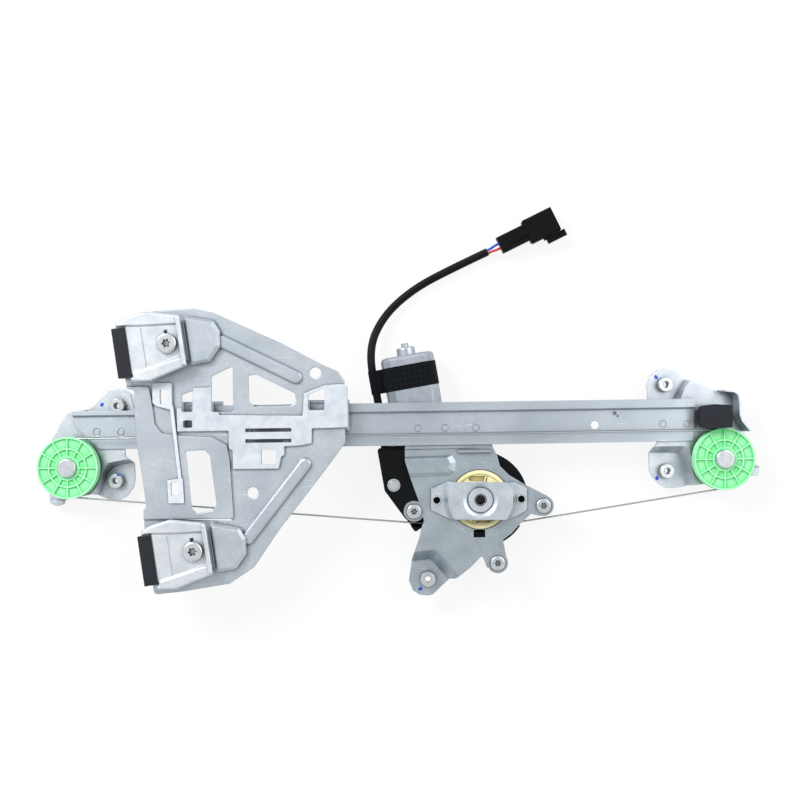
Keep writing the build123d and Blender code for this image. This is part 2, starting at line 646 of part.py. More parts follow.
def tangent_below(x):
    """Lower common tangent of the drum and a pulley: touching point on the drum and heading."""
    dx = x - DRUM_X
    dy = PULLEY_Y - DRUM_Y
    span = math.hypot(dx, dy)
    line = math.atan2(dy, abs(dx))
    tilt = math.asin((DRUM_PITCH_R - PULLEY_PITCH_R) / span)
    slope = line + tilt
    side = math.copysign(1, dx)
    normal = (side * math.sin(slope), -math.cos(slope))
    touch = (DRUM_X + DRUM_PITCH_R * normal[0], DRUM_Y + DRUM_PITCH_R * normal[1])
    heading = math.degrees(slope) if side > 0 else 180 - math.degrees(slope)
    return touch[0], touch[1], GROOVE_Z, heading


LEFT_TANGENT = tangent_below(PULLEY_LEFT_X)
RIGHT_TANGENT = tangent_below(PULLEY_RIGHT_X)
GLAND = (
    WORM_X + 56 * math.cos(math.radians(MOTOR_TURN)) - 30.5 * math.sin(math.radians(MOTOR_TURN)),
    WORM_Y + 56 * math.sin(math.radians(MOTOR_TURN)) + 30.5 * math.cos(math.radians(MOTOR_TURN)),
    14.0,
)


def gear_cover():
    plate = disc(DRUM_X, DRUM_Y, WHEEL_TIP_R + 3.1, HOUSING_BACK, HOUSING_BACK + 3)
    boss = tube(DRUM_X, DRUM_Y, 9, SHAFT_R + 0.1, HOUSING_BACK + 3, HOUSING_BACK + 6)
    ribs = plate + boss
    for k in range(8):
        rib = Rot(0, 0, k * 45) * slab(8, 34, -0.8, 0.8, HOUSING_BACK - 1.5, HOUSING_BACK + 0.5)
        ribs = ribs + Pos(DRUM_X, DRUM_Y, 0) * rib
    return ribs


def can_section(inset):
    half = CAN_WIDTH / 2 - inset
    round_part = Rot(0, 90, 0) * Circle(half)
    flat = Rot(0, 90, 0) * Rectangle(CAN_HEIGHT - 2 * inset, CAN_WIDTH + 10)
    return round_part & flat


def motor_can():
    outer = Pos(CAN_START, 0, 0) * extrude(can_section(0), CAN_END - CAN_START, dir=(1, 0, 0))
    inner = Pos(CAN_START - 1, 0, 0) * extrude(
        can_section(CAN_WALL), CAN_END - CAN_START - 1, dir=(1, 0, 0),
    )
    can = fillet(outer.edges().group_by(Axis.X)[-1], 3.5) - inner
    boss = rod_along(CAN_END - 1, CAN_END + 6.5, 7.8)
    boss = fillet(boss.edges().group_by(Axis.X)[-1], 1.5)
    nub = rod_along(CAN_END + 6, CAN_END + 10, 3.0)
    can = can + boss + nub - rod_along(CAN_END - 3, CAN_END + 5, 5.0)
    return motor_place() * can


def motor_magnets():
    magnets = []
    for side in (1, -1):
        ring = rod_along(CAN_START + 8, CAN_END - 8, CAN_WIDTH / 2 - CAN_WALL)
        ring = ring - rod_along(CAN_START, CAN_END, ARMATURE_R + 1.2)
        wedge = [(0, 0), (side * 30, 26), (side * 30, -26)]
        keep = extrude(Plane.YZ * make_face(Polyline(*wedge, close=True)), 200)
        flat = slab(0, 200, -30, 30, -CAN_HEIGHT / 2 + CAN_WALL, CAN_HEIGHT / 2 - CAN_WALL)
        magnets.append(motor_place() * (ring & keep & flat))
    return magnets


def armature_shaft():
    shaft = rod_along(-26, CAN_END + 4, ARMATURE_SHAFT_R)
    profile = [(-16, 0), (-16, 4)]
    for k in range(8):
        start = -14 + k * 3.5
        profile += [(start, 4), (start + 0.9, WORM_R), (start + 1.9, WORM_R), (start + 2.8, 4)]
    profile += [(16, 4), (16, 0)]
    worm = revolve(make_face(Polyline(*profile, close=True)), Axis.X, 360)
    return motor_place() * (shaft + worm)


def armature_core():
    core = rod_along(CAN_START + 12, CAN_END - 14, ARMATURE_R)
    for k in range(8):
        slot = slab(CAN_START + 8, CAN_END - 8, -0.9, 0.9, 8, 16)
        core = core - Rot(k * 45, 0, 0) * slot
    core = (
        core + rod_along(CAN_START + 6, CAN_START + 12, 10.5)
        + rod_along(CAN_END - 14, CAN_END - 9, 10.5)
    )
    return motor_place() * (core - rod_along(0, 200, ARMATURE_SHAFT_R))


def commutator():
    drum = rod_along(CAN_START - 8, CAN_START + 6, 6.5)
    for k in range(8):
        drum = drum - Rot(k * 45, 0, 0) * slab(CAN_START - 9, CAN_START + 5, -0.3, 0.3, 5.5, 8)
    return motor_place() * (drum - rod_along(0, 200, ARMATURE_SHAFT_R))


def brush_card():
    card = rod_along(CAN_START - 9.5, CAN_START - 7.5, 13.2) - rod_along(0, 200, 8.0)
    boxes = (
        slab(CAN_START - 7.6, CAN_START - 1, 7.5, 12.4, -4, 4)
        + slab(CAN_START - 7.6, CAN_START - 1, -12.4, -7.5, -4, 4)
    )
    hollow = (
        slab(CAN_START - 6.6, CAN_START - 0.5, 5, 15, -2.6, 2.6)
        + slab(CAN_START - 6.6, CAN_START - 0.5, -15, -5, -2.6, 2.6)
    )
    return motor_place() * (card + boxes - hollow)


def brushes():
    pair = [
        slab(CAN_START - 6.5, CAN_START - 1.6, 6.8, 12, -2.5, 2.5),
        slab(CAN_START - 6.5, CAN_START - 1.6, -12, -6.8, -2.5, 2.5),
    ]
    return [motor_place() * brush for brush in pair]


def shaft_bearings():
    bore = ARMATURE_SHAFT_R + 0.1
    rear = rod_along(CAN_END - 2.5, CAN_END + 4.5, 5.0) - rod_along(0, 200, bore)
    front = rod_along(-26.5, -20, WORM_R + 1.2) - rod_along(-60, 60, bore)
    return [motor_place() * rear, motor_place() * front]


def housing_rivet():
    x, y = -6.1, -51.0
    return disc(x, y, 3.8, HOUSING_FRONT, HOUSING_FRONT + 1.6) + tube(
        x, y, 5.3, 3.8, HOUSING_FRONT, HOUSING_FRONT + 0.6,
    )


def tape_band():
    """Tape wound round the can and the pigtail beside it."""
    start, end = 101.0, 121.0
    outer = extrude(can_section(-0.5), end - start, dir=(1, 0, 0))
    side = TAPE_SIDE
    hump = extrude(
        Rot(0, 90, 0) * Pos(-TAPE_HEIGHT, side, 0) * Circle(SLEEVE_R + 0.7), end - start,
        dir=(1, 0, 0),
    )
    low = TAPE_HEIGHT - SLEEVE_R - 0.7
    high = TAPE_HEIGHT + SLEEVE_R + 0.7
    fill = slab(0, end - start, 18, side, low, high)
    inner = extrude(can_section(0), end - start, dir=(1, 0, 0))
    bore = extrude(
        Rot(0, 90, 0) * Pos(-TAPE_HEIGHT, side, 0) * Circle(SLEEVE_R + 0.3), end - start,
        dir=(1, 0, 0),
    )
    band = outer + hump + fill - inner - bore
    return motor_place() * Pos(start, 0, 0) * band


TAPE_SIDE = 30.6
TAPE_HEIGHT = GLAND[2] - MOTOR_Z


def route_cable(x, tangent, groove):
    """Centre line of one cable: drum tangent, round the pulley, on to the bow of the rail."""
    side = math.copysign(1, x)
    frame = pulley_frame(x)
    slope = math.radians(tangent[3])
    turn = slope if side > 0 else math.pi - slope
    foot = (side * PULLEY_PITCH_R * math.sin(turn), -PULLEY_PITCH_R * math.cos(turn))
    mid = (side * PULLEY_PITCH_R, 0)
    head = (0, PULLEY_PITCH_R)
    points = [(frame * Pos(p[0], p[1], 0)).position for p in (foot, mid, head)]
    start = Vector(tangent[0], tangent[1], groove)
    lower = Line(start, points[0])
    wrap = ThreePointArc(points[0], points[1], points[2])
    bow = RAIL_RADIUS + CABLE_LIFT
    reach = math.hypot(points[2].X, points[2].Z - AXIS_Z)
    from_top = math.atan2(points[2].X, points[2].Z - AXIS_Z)
    touch = from_top - side * math.acos(bow / reach)
    end = REST_ARC / RAIL_RADIUS
    middle = (touch + end) / 2
    on_bow = []
    for angle in (touch, middle, end):
        on_bow.append(Vector(bow * math.sin(angle), CABLE_Y, AXIS_Z + bow * math.cos(angle)))
    upper = Line(points[2], on_bow[0])
    rail_run = ThreePointArc(on_bow[0], on_bow[1], on_bow[2])
    return [lower, wrap, upper, rail_run]


def cable_tube(x, tangent, groove):
    runs = route_cable(x, tangent, groove)
    path = Wire(runs)
    section = Plane(origin=path @ 0, z_dir=path % 0) * Circle(CABLE_R)
    cable = sweep(section, path=path)
    print(
        "cable length", round(path.length, 1), "volume ratio",
        round(cable.volume / (math.pi * CABLE_R**2 * path.length), 4),
    )
    return cable


PLATE_OUTLINE = [
    (-55.4, 97.5), (-40.3, 93.9), (17.2, 67.2), (50.6, 49.1), (62.4, 43.9), (67.6, 36.0), (67.6, -14.7),
    (46.0, -42.9), (11.6, -86.1), (-9.1, -116.1), (-29.7, -129.5), (-70.6, -136.0), (-92.9, -138.1),
    (-100.3, -81.8), (-100.4, -68.3), (-98.0, -65.0), (-101.5, -38.0), (-105.6, -10.9), (-106.8, 14.6),
    (-106.5, 31.1), (-113.2, 32.0), (-116.0, 48.0), (-113.0, 88.0), (-90.0, 96.0),
]
RAISED = [
    (-120, 34), (-94.7, 34), (-92.4, 22), (-90.2, 2.8), (-84.3, -4.7), (-65.2, -7.4), (-41.8, -8.5),
    (-30.2, -15.3), (-27.9, -30.0), (-25.3, -76.0), (-120, -76.0),
]
WINDOWS = [
    [
        (-11.9, 41.7), (-5.2, 42.4), (26.7, 26.5), (27.5, 19.3), (23.2, 16.4), (-7.2, 16.1),
        (-11.4, 19.9),
    ],
    [(-42.6, 41.3), (-24.6, 49.6), (-24.6, 12.0), (-42.6, 12.0)],
    [(-67.4, 26.5), (-58.1, 30.0), (-58.1, 12.4), (-67.4, 12.4)],
    [(-66.3, 5.5), (-58.5, 5.5), (-58.5, -0.7), (-66.3, -0.7)],
    [(37.7, 25.0), (51.2, 31.0), (51.2, 12.5), (37.7, 12.5)],
    [
        (-64.7, -19.8), (-48.5, -19.2), (-44.3, -23.4), (-39.2, -63.9), (-42.4, -68.9),
        (-56.1, -71.3), (-60.2, -67.0),
    ],
    [(-1.8, -19.5), (10.7, -19.5), (10.7, -31.8), (-1.8, -31.8)],
    [(-85.3, 31.0), (-77.8, 31.0), (-77.8, 19.1), (-85.3, 19.1)],
    [(-77.0, -45.8), (-70.0, -45.8), (-70.0, -56.0), (-77.0, -56.0)],
]
UPPER_BEAD = ((-33.0, 70.0), (27.8, 39.6))
LOWER_BEAD = ((-13.5, -92.0), (34.4, -31.6))


def bead(ends, half, bottom, top, soft):
    (x0, y0), (x1, y1) = ends
    length = math.hypot(x1 - x0, y1 - y0)
    angle = math.degrees(math.atan2(y1 - y0, x1 - x0))
    slot = SlotCenterToCenter(length, 2 * half)
    rib = Pos((x0 + x1) / 2, (y0 + y1) / 2, bottom) * Rot(0, 0, angle) * extrude(slot, top - bottom)
    if soft:
        rib = fillet(rib.edges().group_by(Axis.Z)[-1], soft)
    return rib


LINKS = [
    (-55.0, -45.0, 17.0, 28.0), (-20.0, -16.0, -14.0, 6.0), (30.5, 32.0, -12.0, 4.0),
    (56.0, 64.0, 4.0, 28.0),
]


def carrier_plate():
    t = PLATE_SHEET
    outline = prism(PLATE_OUTLINE, PLATE_Z, PLATE_TOP + PLATE_RAISE, 3)
    high = prism(RAISED, PLATE_Z - 1, PLATE_TOP + PLATE_RAISE + 1, 2)
    under = prism(
        [(-120, 32)] + [(x - t, y - t) for x, y in RAISED[1:-1]] + [(-120, -74)], 0, PLATE_TOP, 1,
    )
    low = prism(PLATE_OUTLINE, PLATE_Z, PLATE_TOP, 3)
    plate = low + (outline & high)
    rim = offset(make_face(Polyline(*PLATE_OUTLINE, close=True)), -t)
    inside = Pos(0, 0, PLATE_Z - 1) * extrude(rim, t + 1)
    plate = plate - (inside & under)
    for bolt in (UPPER_BOLT, LOWER_BOLT):
        place = clamp_place(bolt)
        boss_plan = [(14.5, 21), (19, 20), (39, 13.5), (43, 4), (41.5, -9), (31, -20), (14.5, -20.5)]
        boss = prism(boss_plan, PLATE_Z + 1, PLATE_TOP + 7.0, 3)
        boss = chamfer(boss.edges().group_by(Axis.Z)[-1], 2.5)
        hollow = prism(
            [(16.5, 18), (19, 17.5), (37, 11.5), (40.5, 3.5), (39, -8), (29.5, -17.5), (16.5, -18)],
            0, PLATE_TOP + 4.6, 1,
        )
        slot = slab(8, LIP_X + 1.5, -16.5, 16.5, PLATE_TOP + 1.4, PLATE_TOP + 4.6)
        plate = plate + place * boss - place * hollow - place * slot
        plate = plate - place * disc(0, 0, CLAMP_BOLT_R + 0.8, 0, 100)
    for ends in (UPPER_BEAD, LOWER_BEAD):
        plate = plate + bead(ends, 5.2, PLATE_TOP - 0.5, PLATE_TOP + BEAD_RISE, 2.0)
        plate = plate - bead(ends, 3.2, PLATE_Z - 1, PLATE_TOP + BEAD_RISE - 2.0, 0)
    for points in WINDOWS:
        plate = plate - prism(points, 0, 100, 1.5)
    for x, y in [(43.8, 42.8), (-9.4, -54.9)]:
        plate = plate - disc(x, y, 4.8, 0, 100)
    for x0, x1, y0, y1 in LINKS:
        plate = plate - slab(x0, x1, y0, y1, 0, 100)
    return along_rail(REST_ARC) * plate


SKIN_OUTLINE = [
    (-71.4, -3.8), (-28.5, -3.8), (-28.5, -18.0), (-25.3, -20.0), (-25.3, -35.3), (12.7, -35.3),
    (15.0, -25.4),
    (17.6, -24.0), (17.6, -17.0), (30.5, -16.5), (40.2, -14.7), (40.7, -2.6), (70.2, -2.2), (70.2, 31.5),
    (67.4, 33.4), (52.2, 33.0), (34.2, 26.4), (33.0, 8.0), (-36.2, 9.5), (-36.5, 29.0), (-39.5, 32.6),
    (-57.9, 32.1), (-58.4, 15.6), (-71.4, 15.6),
]


def slider_shoe():
    gap = SHOE_GAP
    up = UPPER_RISE + gap
    top = RAIL_TOP_Y + 0.4
    under = UPPER_RISE - LIP_DEPTH - gap
    step = RAIL_STEP_Y
    deep = 6.0
    hook = [
        (-4, gap), (step - 0.8, gap), (step + 0.8, up), (top, up), (top, under), (13, under),
        (13, under - 2.6),
    ]
    hook += [(top + 2.8, under - 2.6), (top + 2.8, deep), (-4, deep)]
    foot = CABLE_Y + 1.0
    pad = [
        (-17.5, gap - LOWER_DROP), (foot - 1.4, gap - LOWER_DROP), (foot - 0.3, gap),
        (step - 0.8, gap), (step - 0.8, deep),
    ]
    pad += [(-17.5, deep)]
    base = CROWN_Z + 4.2
    shoe = bowed(hook, -71, -36) + bowed(hook, 34, 70) + bowed(pad, -28, 32)
    back = slab(-71, -36, -4, top + 2.8, base, PLATE_Z) + slab(34, 70, -4, top + 2.8, base, PLATE_Z)
    back = (
        back + slab(-28, 32, -17.5, step - 0.8, base, PLATE_Z)
        + slab(-37, 35, -3.8, step - 1.4, base, PLATE_Z)
    )
    skin = prism(SKIN_OUTLINE, PLATE_TOP, PLATE_TOP + SKIN, 1.0)
    skin = chamfer(skin.edges().group_by(Axis.Z)[-1], 0.5)
    shoe = shoe + back + skin
    for x0, x1, y0, y1 in LINKS:
        shoe = shoe + slab(x0, x1, y0, y1, PLATE_Z - 3, PLATE_TOP + 1)
    shoe = shoe + slab(67.8, 70, 2, 18, PLATE_Z - 3, PLATE_TOP + 1)
    tunnel = [
        (CABLE_Y - FERRULE_R, 2.0), (CABLE_Y + FERRULE_R, 2.0), (CABLE_Y + FERRULE_R, 6.0),
        (CABLE_Y - FERRULE_R, 6.0),
    ]
    mouth = [(y, 8.0 if z > 4 else z) for y, z in tunnel]
    shoe = shoe - bowed(tunnel, -15, 15) - bowed(mouth, -80, -14) - bowed(mouth, 14, 80)
    for y in (-3.4, -12.2):
        shoe = shoe - slab(-14.5, 23.5, y - 1.5, y + 1.5, PLATE_TOP - 0.5, PLATE_TOP + SKIN + 1)
    for points in (WINDOWS[1], WINDOWS[2], WINDOWS[4], WINDOWS[3], WINDOWS[6]):
        shoe = shoe - prism(points, PLATE_Z - 8, 100, 1.5)
    return along_rail(REST_ARC) * shoe


def slider_arm():
    """Thin moulded strip with two pads that clips on the carrier plate."""
    low = PLATE_TOP
    high = PLATE_TOP + PLATE_RAISE
    upper = prism(
        [(-91.2, 36.5), (-75.2, 36.5), (-75.2, 14.0), (-87.5, 17.5), (-91.2, 20)], low, high + 1.5,
        1.0,
    )
    lower = prism([(-80, -43.6), (-67, -42), (-66, -62.7), (-79, -62.7)], high, high + 1.5, 1.0)
    strip = prism([(-77.0, 18.0), (-74.2, 18.0), (-67.6, -46), (-70.4, -46)], high + 0.2, high + 1.5)
    arm = upper + lower + strip
    window = prism(WINDOWS[7], 0, 100, 1.0) + prism(WINDOWS[8], 0, 100, 1.0)
    return along_rail(REST_ARC) * (arm - window)


def cable_ferrules():
    parts = []
    for shift in (-FERRULE_LENGTH - 1.5, 1.5):
        middle = REST_ARC + shift + FERRULE_LENGTH / 2
        body = (
            Rot(0, 90, 0)
            * (Cylinder(FERRULE_R, FERRULE_LENGTH) - Cylinder(FERRULE_BORE_R, FERRULE_LENGTH + 2))
        )
        parts.append(along_rail(middle) * Pos(0, CABLE_Y, CROWN_Z + CABLE_LIFT) * body)
    return parts


def in_clamp(bolt, shape):
    return along_rail(REST_ARC) * clamp_place(bolt) * shape


def clamp_plate(bolt):
    """Pressed jaw plate: a flat panel, raised side flanges and a hooked lip."""
    z = CLAMP_Z
    t = CLAMP_SHEET
    panel = prism(
        [(-42.5, 18.5), (-42.5, -22.5), (-31, -22.5), (13, -14), (13, 16.5), (-18, 20)], z, z + t,
        1,
    )
    upper_edge = [
        (-40.3, 19.0), (-32.0, 19.0), (-18, 17.0), (12.5, 14.0), (12.9, 21.8), (-15.3, 28.6),
        (-33, 25.8), (-40.3, 22.5),
    ]
    lower_edge = [
        (-32.5, -20.0), (13, -11.5), (13.2, -20.5), (-18.2, -28.5), (-34.1, -26.4),
        (-34.1, -22.8), (-32.5, -22.8),
    ]
    upper = prism(upper_edge, z + 1.0, z + 3.6)
    lower = prism(lower_edge, z + 1.0, z + 3.6)
    upper = chamfer(upper.edges().group_by(Axis.Z)[-1], 1.2)
    lower = chamfer(lower.edges().group_by(Axis.Z)[-1], 1.2)
    under_upper = prism(
        [(-38, 20.3), (-17, 19.5), (11, 16.5), (11.2, 20.3), (-15.5, 26.8), (-33, 24.0)], z,
        z + 2.0,
    )
    under_lower = prism(
        [(-31.5, -23.2), (-18, -22.0), (11.2, -14.6), (11.4, -19.3), (-18.2, -26.7), (-32.5, -25)],
        z, z + 2.0,
    )
    shape = panel + upper + lower - under_upper - under_lower
    wall = slab(11, 13.4, -15.5, 15.5, PLATE_TOP + 2.0, z + 4.2)
    tongue = slab(12, LIP_X, -15.5, 15.5, PLATE_TOP + 2.0, PLATE_TOP + 4.0)
    tongue = fillet(tongue.edges().filter_by(Axis.Y).group_by(Axis.X)[-1], 0.9)
    rib = slab(9.5, 13.4, -20, 21, z + 1.0, z + 5.0)
    rib = fillet(rib.edges().group_by(Axis.Z)[-1], 1.2)
    shape = shape + wall + tongue + rib
    keyhole = disc(0, 0, CLAMP_BOLT_R + 1.2, 0, 100) + slab(-1.5, 1.5, 0, 11, z - 1, z + t + 1)
    crease = slab(-20.4, -19.6, -17, 15.5, z + t - 0.35, z + t + 1)
    return in_clamp(bolt, shape - keyhole - crease)


def jaw_rubber_front(bolt):
    half = JAW_WIDTH / 2
    sleeve = slab(JAW_X - half, JAW_X + half, -22.5, -22.5 + JAW_LENGTH, JAW_Z, JAW_Z + FRONT_RUBBER)
    sleeve = fillet(sleeve.edges().filter_by(Axis.Y), 1.0)
    slot = slab(-42.5, JAW_X + half + 1, -23, 19, CLAMP_Z, CLAMP_TOP)
    lips = slab(JAW_X + half - 1.5, JAW_X + half + 1, -23, 19, CLAMP_TOP, CLAMP_TOP + 5)
    return in_clamp(bolt, sleeve - slot)


def jaw_rubber_back(bolt):
    half = JAW_WIDTH / 2
    pad = slab(JAW_X - half, JAW_X + half, -22.5, -22.5 + JAW_LENGTH, PLATE_TOP, PAD_TOP)
    return in_clamp(bolt, chamfer(pad.edges().group_by(Axis.Z)[-1], 0.8))


def clamp_bolt(bolt):
    seat = CLAMP_TOP + RUN_GAP
    head = disc(0, 0, CLAMP_HEAD_R, seat, seat + CLAMP_HEAD)
    head = fillet(head.edges().group_by(Axis.Z)[-1], 1.6)
    recess = six_lobe(0, 0, 3.7, seat + CLAMP_HEAD - 2.6, seat + CLAMP_HEAD + 1)
    shank = disc(0, 0, CLAMP_BOLT_R, PLATE_Z - 11, seat + 1)
    shank = chamfer(shank.edges().group_by(Axis.Z)[0], 0.8)
    return in_clamp(bolt, head - recess + shank)


def clamp_nuts():
    nuts = []
    for bolt in (UPPER_BOLT, LOWER_BOLT):
        block = extrude(Pos(0, 0, PLATE_Z - 6.5) * RegularPolygon(7.5, 6), 6.5)
        nuts.append(in_clamp(bolt, block - disc(0, 0, CLAMP_NUT_BORE_R, 0, 100)))
    return nuts




def beside_motor(along, side):
    """A point of the pigtail beside the motor, from its gland."""
    turn = math.radians(MOTOR_TURN)
    x = GLAND[0] + along * math.cos(turn) - side * math.sin(turn)
    y = GLAND[1] + along * math.sin(turn) + side * math.cos(turn)
    return (x, y, GLAND[2])


SLEEVE_ROUTE = [
    (GLAND[0], GLAND[1], GLAND[2]), beside_motor(41, 0), beside_motor(83, 0.6), (-13.5, 91.0, 5.2),
    (12.5, 114.0, 3.6), (47.0, 131.5, 3.6), (76.0, 144.5, 5.5),
]


def route_radii(points, name):
    """Arc radii as large as the two runs at each corner allow."""
    radii = []
    for before, here, after in zip(points, points[1:], points[2:]):
        first = Vector(*here) - Vector(*before)
        second = Vector(*after) - Vector(*here)
        half = math.radians(first.get_angle(second)) / 2
        radii.append(0.45 * min(first.length, second.length) / math.tan(half))
    print(name, "radii", [round(r, 1) for r in radii])
    return radii


def cord(points, radius, name):
    path = FilletPolyline(*points, radius=route_radii(points, name))
    section = Plane(origin=path @ 0, z_dir=path % 0) * Circle(radius)
    solid = sweep(section, path=path)
    print(
        name, "length", round(path.length, 1), "volume ratio",
        round(solid.volume / (math.pi * radius**2 * path.length), 4),
    )
    return solid


def pigtail_sleeve():
    return cord(SLEEVE_ROUTE, SLEEVE_R, "sleeve")


def plug_place():
    return Pos(86.3, 149.2, 8.2) * Rot(0, 0, PLUG_TURN)


def pigtail_wire(side):
    end = Vector(*SLEEVE_ROUTE[-1])
    ahead = (end - Vector(*SLEEVE_ROUTE[-2])).normalized()
    left = Vector(-ahead.Y, ahead.X, 0).normalized()
    start = end + left * (1.25 * side)
    entry = (plug_place() * Pos(0, 2.0 * side, 0)).position
    before = (plug_place() * Pos(-3.5, 2.0 * side, 0)).position
    points = [start, start + ahead * 3.5, before, entry]
    return cord([(p.X, p.Y, p.Z) for p in points], WIRE_R, "wire")


def connector_body():
    rear = slab(0, 28, -7.2, 7.2, -6.4, 6.4)
    rear = fillet(rear.edges().filter_by(Axis.X), 1.5)
    shroud = slab(26, 52, -11, 10.2, -7.8, 7.8)
    shroud = fillet(shroud.edges().filter_by(Axis.X), 1.8)
    mouth = slab(36, 60, -9.2, 8.4, -6.0, 6.0)
    latch = slab(38, 55, -17.0, -11.4, -3.5, 3.5) + slab(36, 42, -13, -10.5, -3.5, 3.5)
    ridge = slab(8, 27, -2.5, 2.5, 5, 7.6)
    collar = slab(25, 28, -10, 9.4, -7.2, 7.2)
    return plug_place() * (rear + shroud + collar + ridge - mouth + latch)


def connector_terminals():
    blades = [plug_place() * slab(36, 48, y - 1.5, y + 1.5, -0.4, 0.4) for y in (-4, 4)]
    return blades


def build_all():
    parts = {
        "guide_rail": guide_rail(),
        "left_end_bracket": left_end_bracket(),
        "right_end_bracket": right_end_bracket(),
        "clinch_nuts": clinch_nuts(),
        "pulley_rivets": pulley_rivets(),
        "left_pulley": pulley_frame(PULLEY_LEFT_X) * pulley(),
        "right_pulley": pulley_frame(PULLEY_RIGHT_X) * pulley(),
        "end_bumper": end_bumper(),
        "motor_bracket": motor_bracket(),
        "drum_bridge": drum_bridge(),
        "bridge_rivets": bridge_rivets(),
        "motor_screws": motor_screws(),
        "cable_drum": cable_drum(),
        "drum_cable_wraps": drum_cable_wraps(),
        "worm_wheel": worm_wheel(),
        "drum_shaft": drum_shaft(),
        "gear_housing": gear_housing(),
        "gear_cover": gear_cover(),
        "housing_rivet": housing_rivet(),
        "motor_can": motor_can(),
        "motor_magnets": motor_magnets(),
        "armature_shaft": armature_shaft(),
        "armature_core": armature_core(),
        "commutator": commutator(),
        "brush_card": brush_card(),
        "brushes": brushes(),
        "shaft_bearings": shaft_bearings(),
        "tape_band": tape_band(),
        "left_cable": cable_tube(PULLEY_LEFT_X, LEFT_TANGENT, GROOVE_Z),
        "right_cable": cable_tube(PULLEY_RIGHT_X, RIGHT_TANGENT, GROOVE_TOP),
        "carrier_plate": carrier_plate(),
        "slider_shoe": slider_shoe(),
        "slider_arm": slider_arm(),
        "cable_ferrules": cable_ferrules(),
        "clamp_nuts": clamp_nuts(),
        "upper_clamp_plate": clamp_plate(UPPER_BOLT),
        "lower_clamp_plate": clamp_plate(LOWER_BOLT),
        "upper_jaw_rubber": jaw_rubber_front(UPPER_BOLT),
        "lower_jaw_rubber": jaw_rubber_front(LOWER_BOLT),
        "upper_rest_rubber": jaw_rubber_back(UPPER_BOLT),
        "lower_rest_rubber": jaw_rubber_back(LOWER_BOLT),
        "upper_clamp_bolt": clamp_bolt(UPPER_BOLT),
        "lower_clamp_bolt": clamp_bolt(LOWER_BOLT),
        "pigtail_sleeve": pigtail_sleeve(),
        "wire_blue": pigtail_wire(1),
        "wire_red": pigtail_wire(-1),
        "connector_body": connector_body(),
        "connector_terminals": connector_terminals(),
    }
    return parts


os.makedirs("parts", exist_ok=True)
for name, shape in build_all().items():
    solids = shape if isinstance(shape, list) else [shape]
    placed = [Pos(-FOOT_X, -FOOT_Y, -FOOT_Z) * solid for solid in solids]
    whole = placed[0] if len(placed) == 1 else Compound(children=placed)
    export_step(whole, f"parts/{name}.step")
    print(name, "volume", round(sum(solid.volume for solid in placed), 1))
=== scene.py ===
import math

import bpy
import numpy as np
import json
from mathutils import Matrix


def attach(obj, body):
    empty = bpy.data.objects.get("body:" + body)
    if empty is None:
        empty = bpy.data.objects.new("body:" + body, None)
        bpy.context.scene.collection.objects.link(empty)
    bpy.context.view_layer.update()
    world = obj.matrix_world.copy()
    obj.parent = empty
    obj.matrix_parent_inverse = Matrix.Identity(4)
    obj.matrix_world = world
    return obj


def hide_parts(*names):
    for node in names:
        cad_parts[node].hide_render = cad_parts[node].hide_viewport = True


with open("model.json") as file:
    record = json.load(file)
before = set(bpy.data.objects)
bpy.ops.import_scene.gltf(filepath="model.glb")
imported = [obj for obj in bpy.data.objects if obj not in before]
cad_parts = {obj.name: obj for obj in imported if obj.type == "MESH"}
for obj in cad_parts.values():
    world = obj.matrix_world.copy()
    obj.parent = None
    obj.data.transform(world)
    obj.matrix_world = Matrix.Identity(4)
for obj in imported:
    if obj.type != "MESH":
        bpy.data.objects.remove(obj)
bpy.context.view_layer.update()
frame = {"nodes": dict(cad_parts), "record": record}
nodes = frame["nodes"]
print("frame loaded:", len(nodes), "nodes")


def linearColor(code):  # sRGB hex to linear light
    parts = [int(code[k:k + 2], 16) / 255 for k in (1, 3, 5)]
    return [c / 12.92 if c <= 0.04045 else ((c + 0.055) / 1.055) ** 2.4 for c in parts] + [1.0]


def setSocket(tree, socket, value):  # a link from another node's output, or a plain number, vector or colour
    if isinstance(value, bpy.types.NodeSocket):
        tree.links.new(value, socket)
    else:
        socket.default_value = value


def addNode(tree, kind, sockets=None, **settings):
    node = tree.nodes.new("ShaderNode" + kind)
    for name, value in settings.items():
        setattr(node, name, value)
    for name, value in (sockets or {}).items():
        setSocket(tree, node.inputs[name], value)
    return node


def perMm(sizeMm):  # texture scale for a pattern whose grains are sizeMm across
    return 1000.0 / sizeMm


# Noise whose grains are sizeMm across, its middle band drawn out to run from low to high.
def patternOf(tree, space, sizeMm, detail, low=0.0, high=1.0, band=(0.3, 0.7), rough=0.55):
    noise = addNode(tree, "TexNoise", {
        "Vector": space, "Scale": perMm(sizeMm), "Detail": detail, "Roughness": rough,
    }).outputs[0]
    return addNode(tree, "MapRange", {
        "Value": noise, "From Min": band[0], "From Max": band[1], "To Min": low, "To Max": high,
    }).outputs[0]


# Painted shade: how much a point is darkened for lying in a fold or corner, where shade falls: most in a
# tight one, 0 in the open. The band is how open the place around the point is at those two ends, from 0 to 1.
def creaseOf(tree, reachMm, most, band=(0.3, 0.85)):
    sockets = {"Distance": reachMm / 1000}
    openness = addNode(tree, "AmbientOcclusion", sockets, samples=6, only_local=False).outputs["AO"]
    return addNode(tree, "MapRange", {
        "Value": openness, "From Min": band[0], "From Max": band[1], "To Min": most, "To Max": 0.0,
    }).outputs[0]


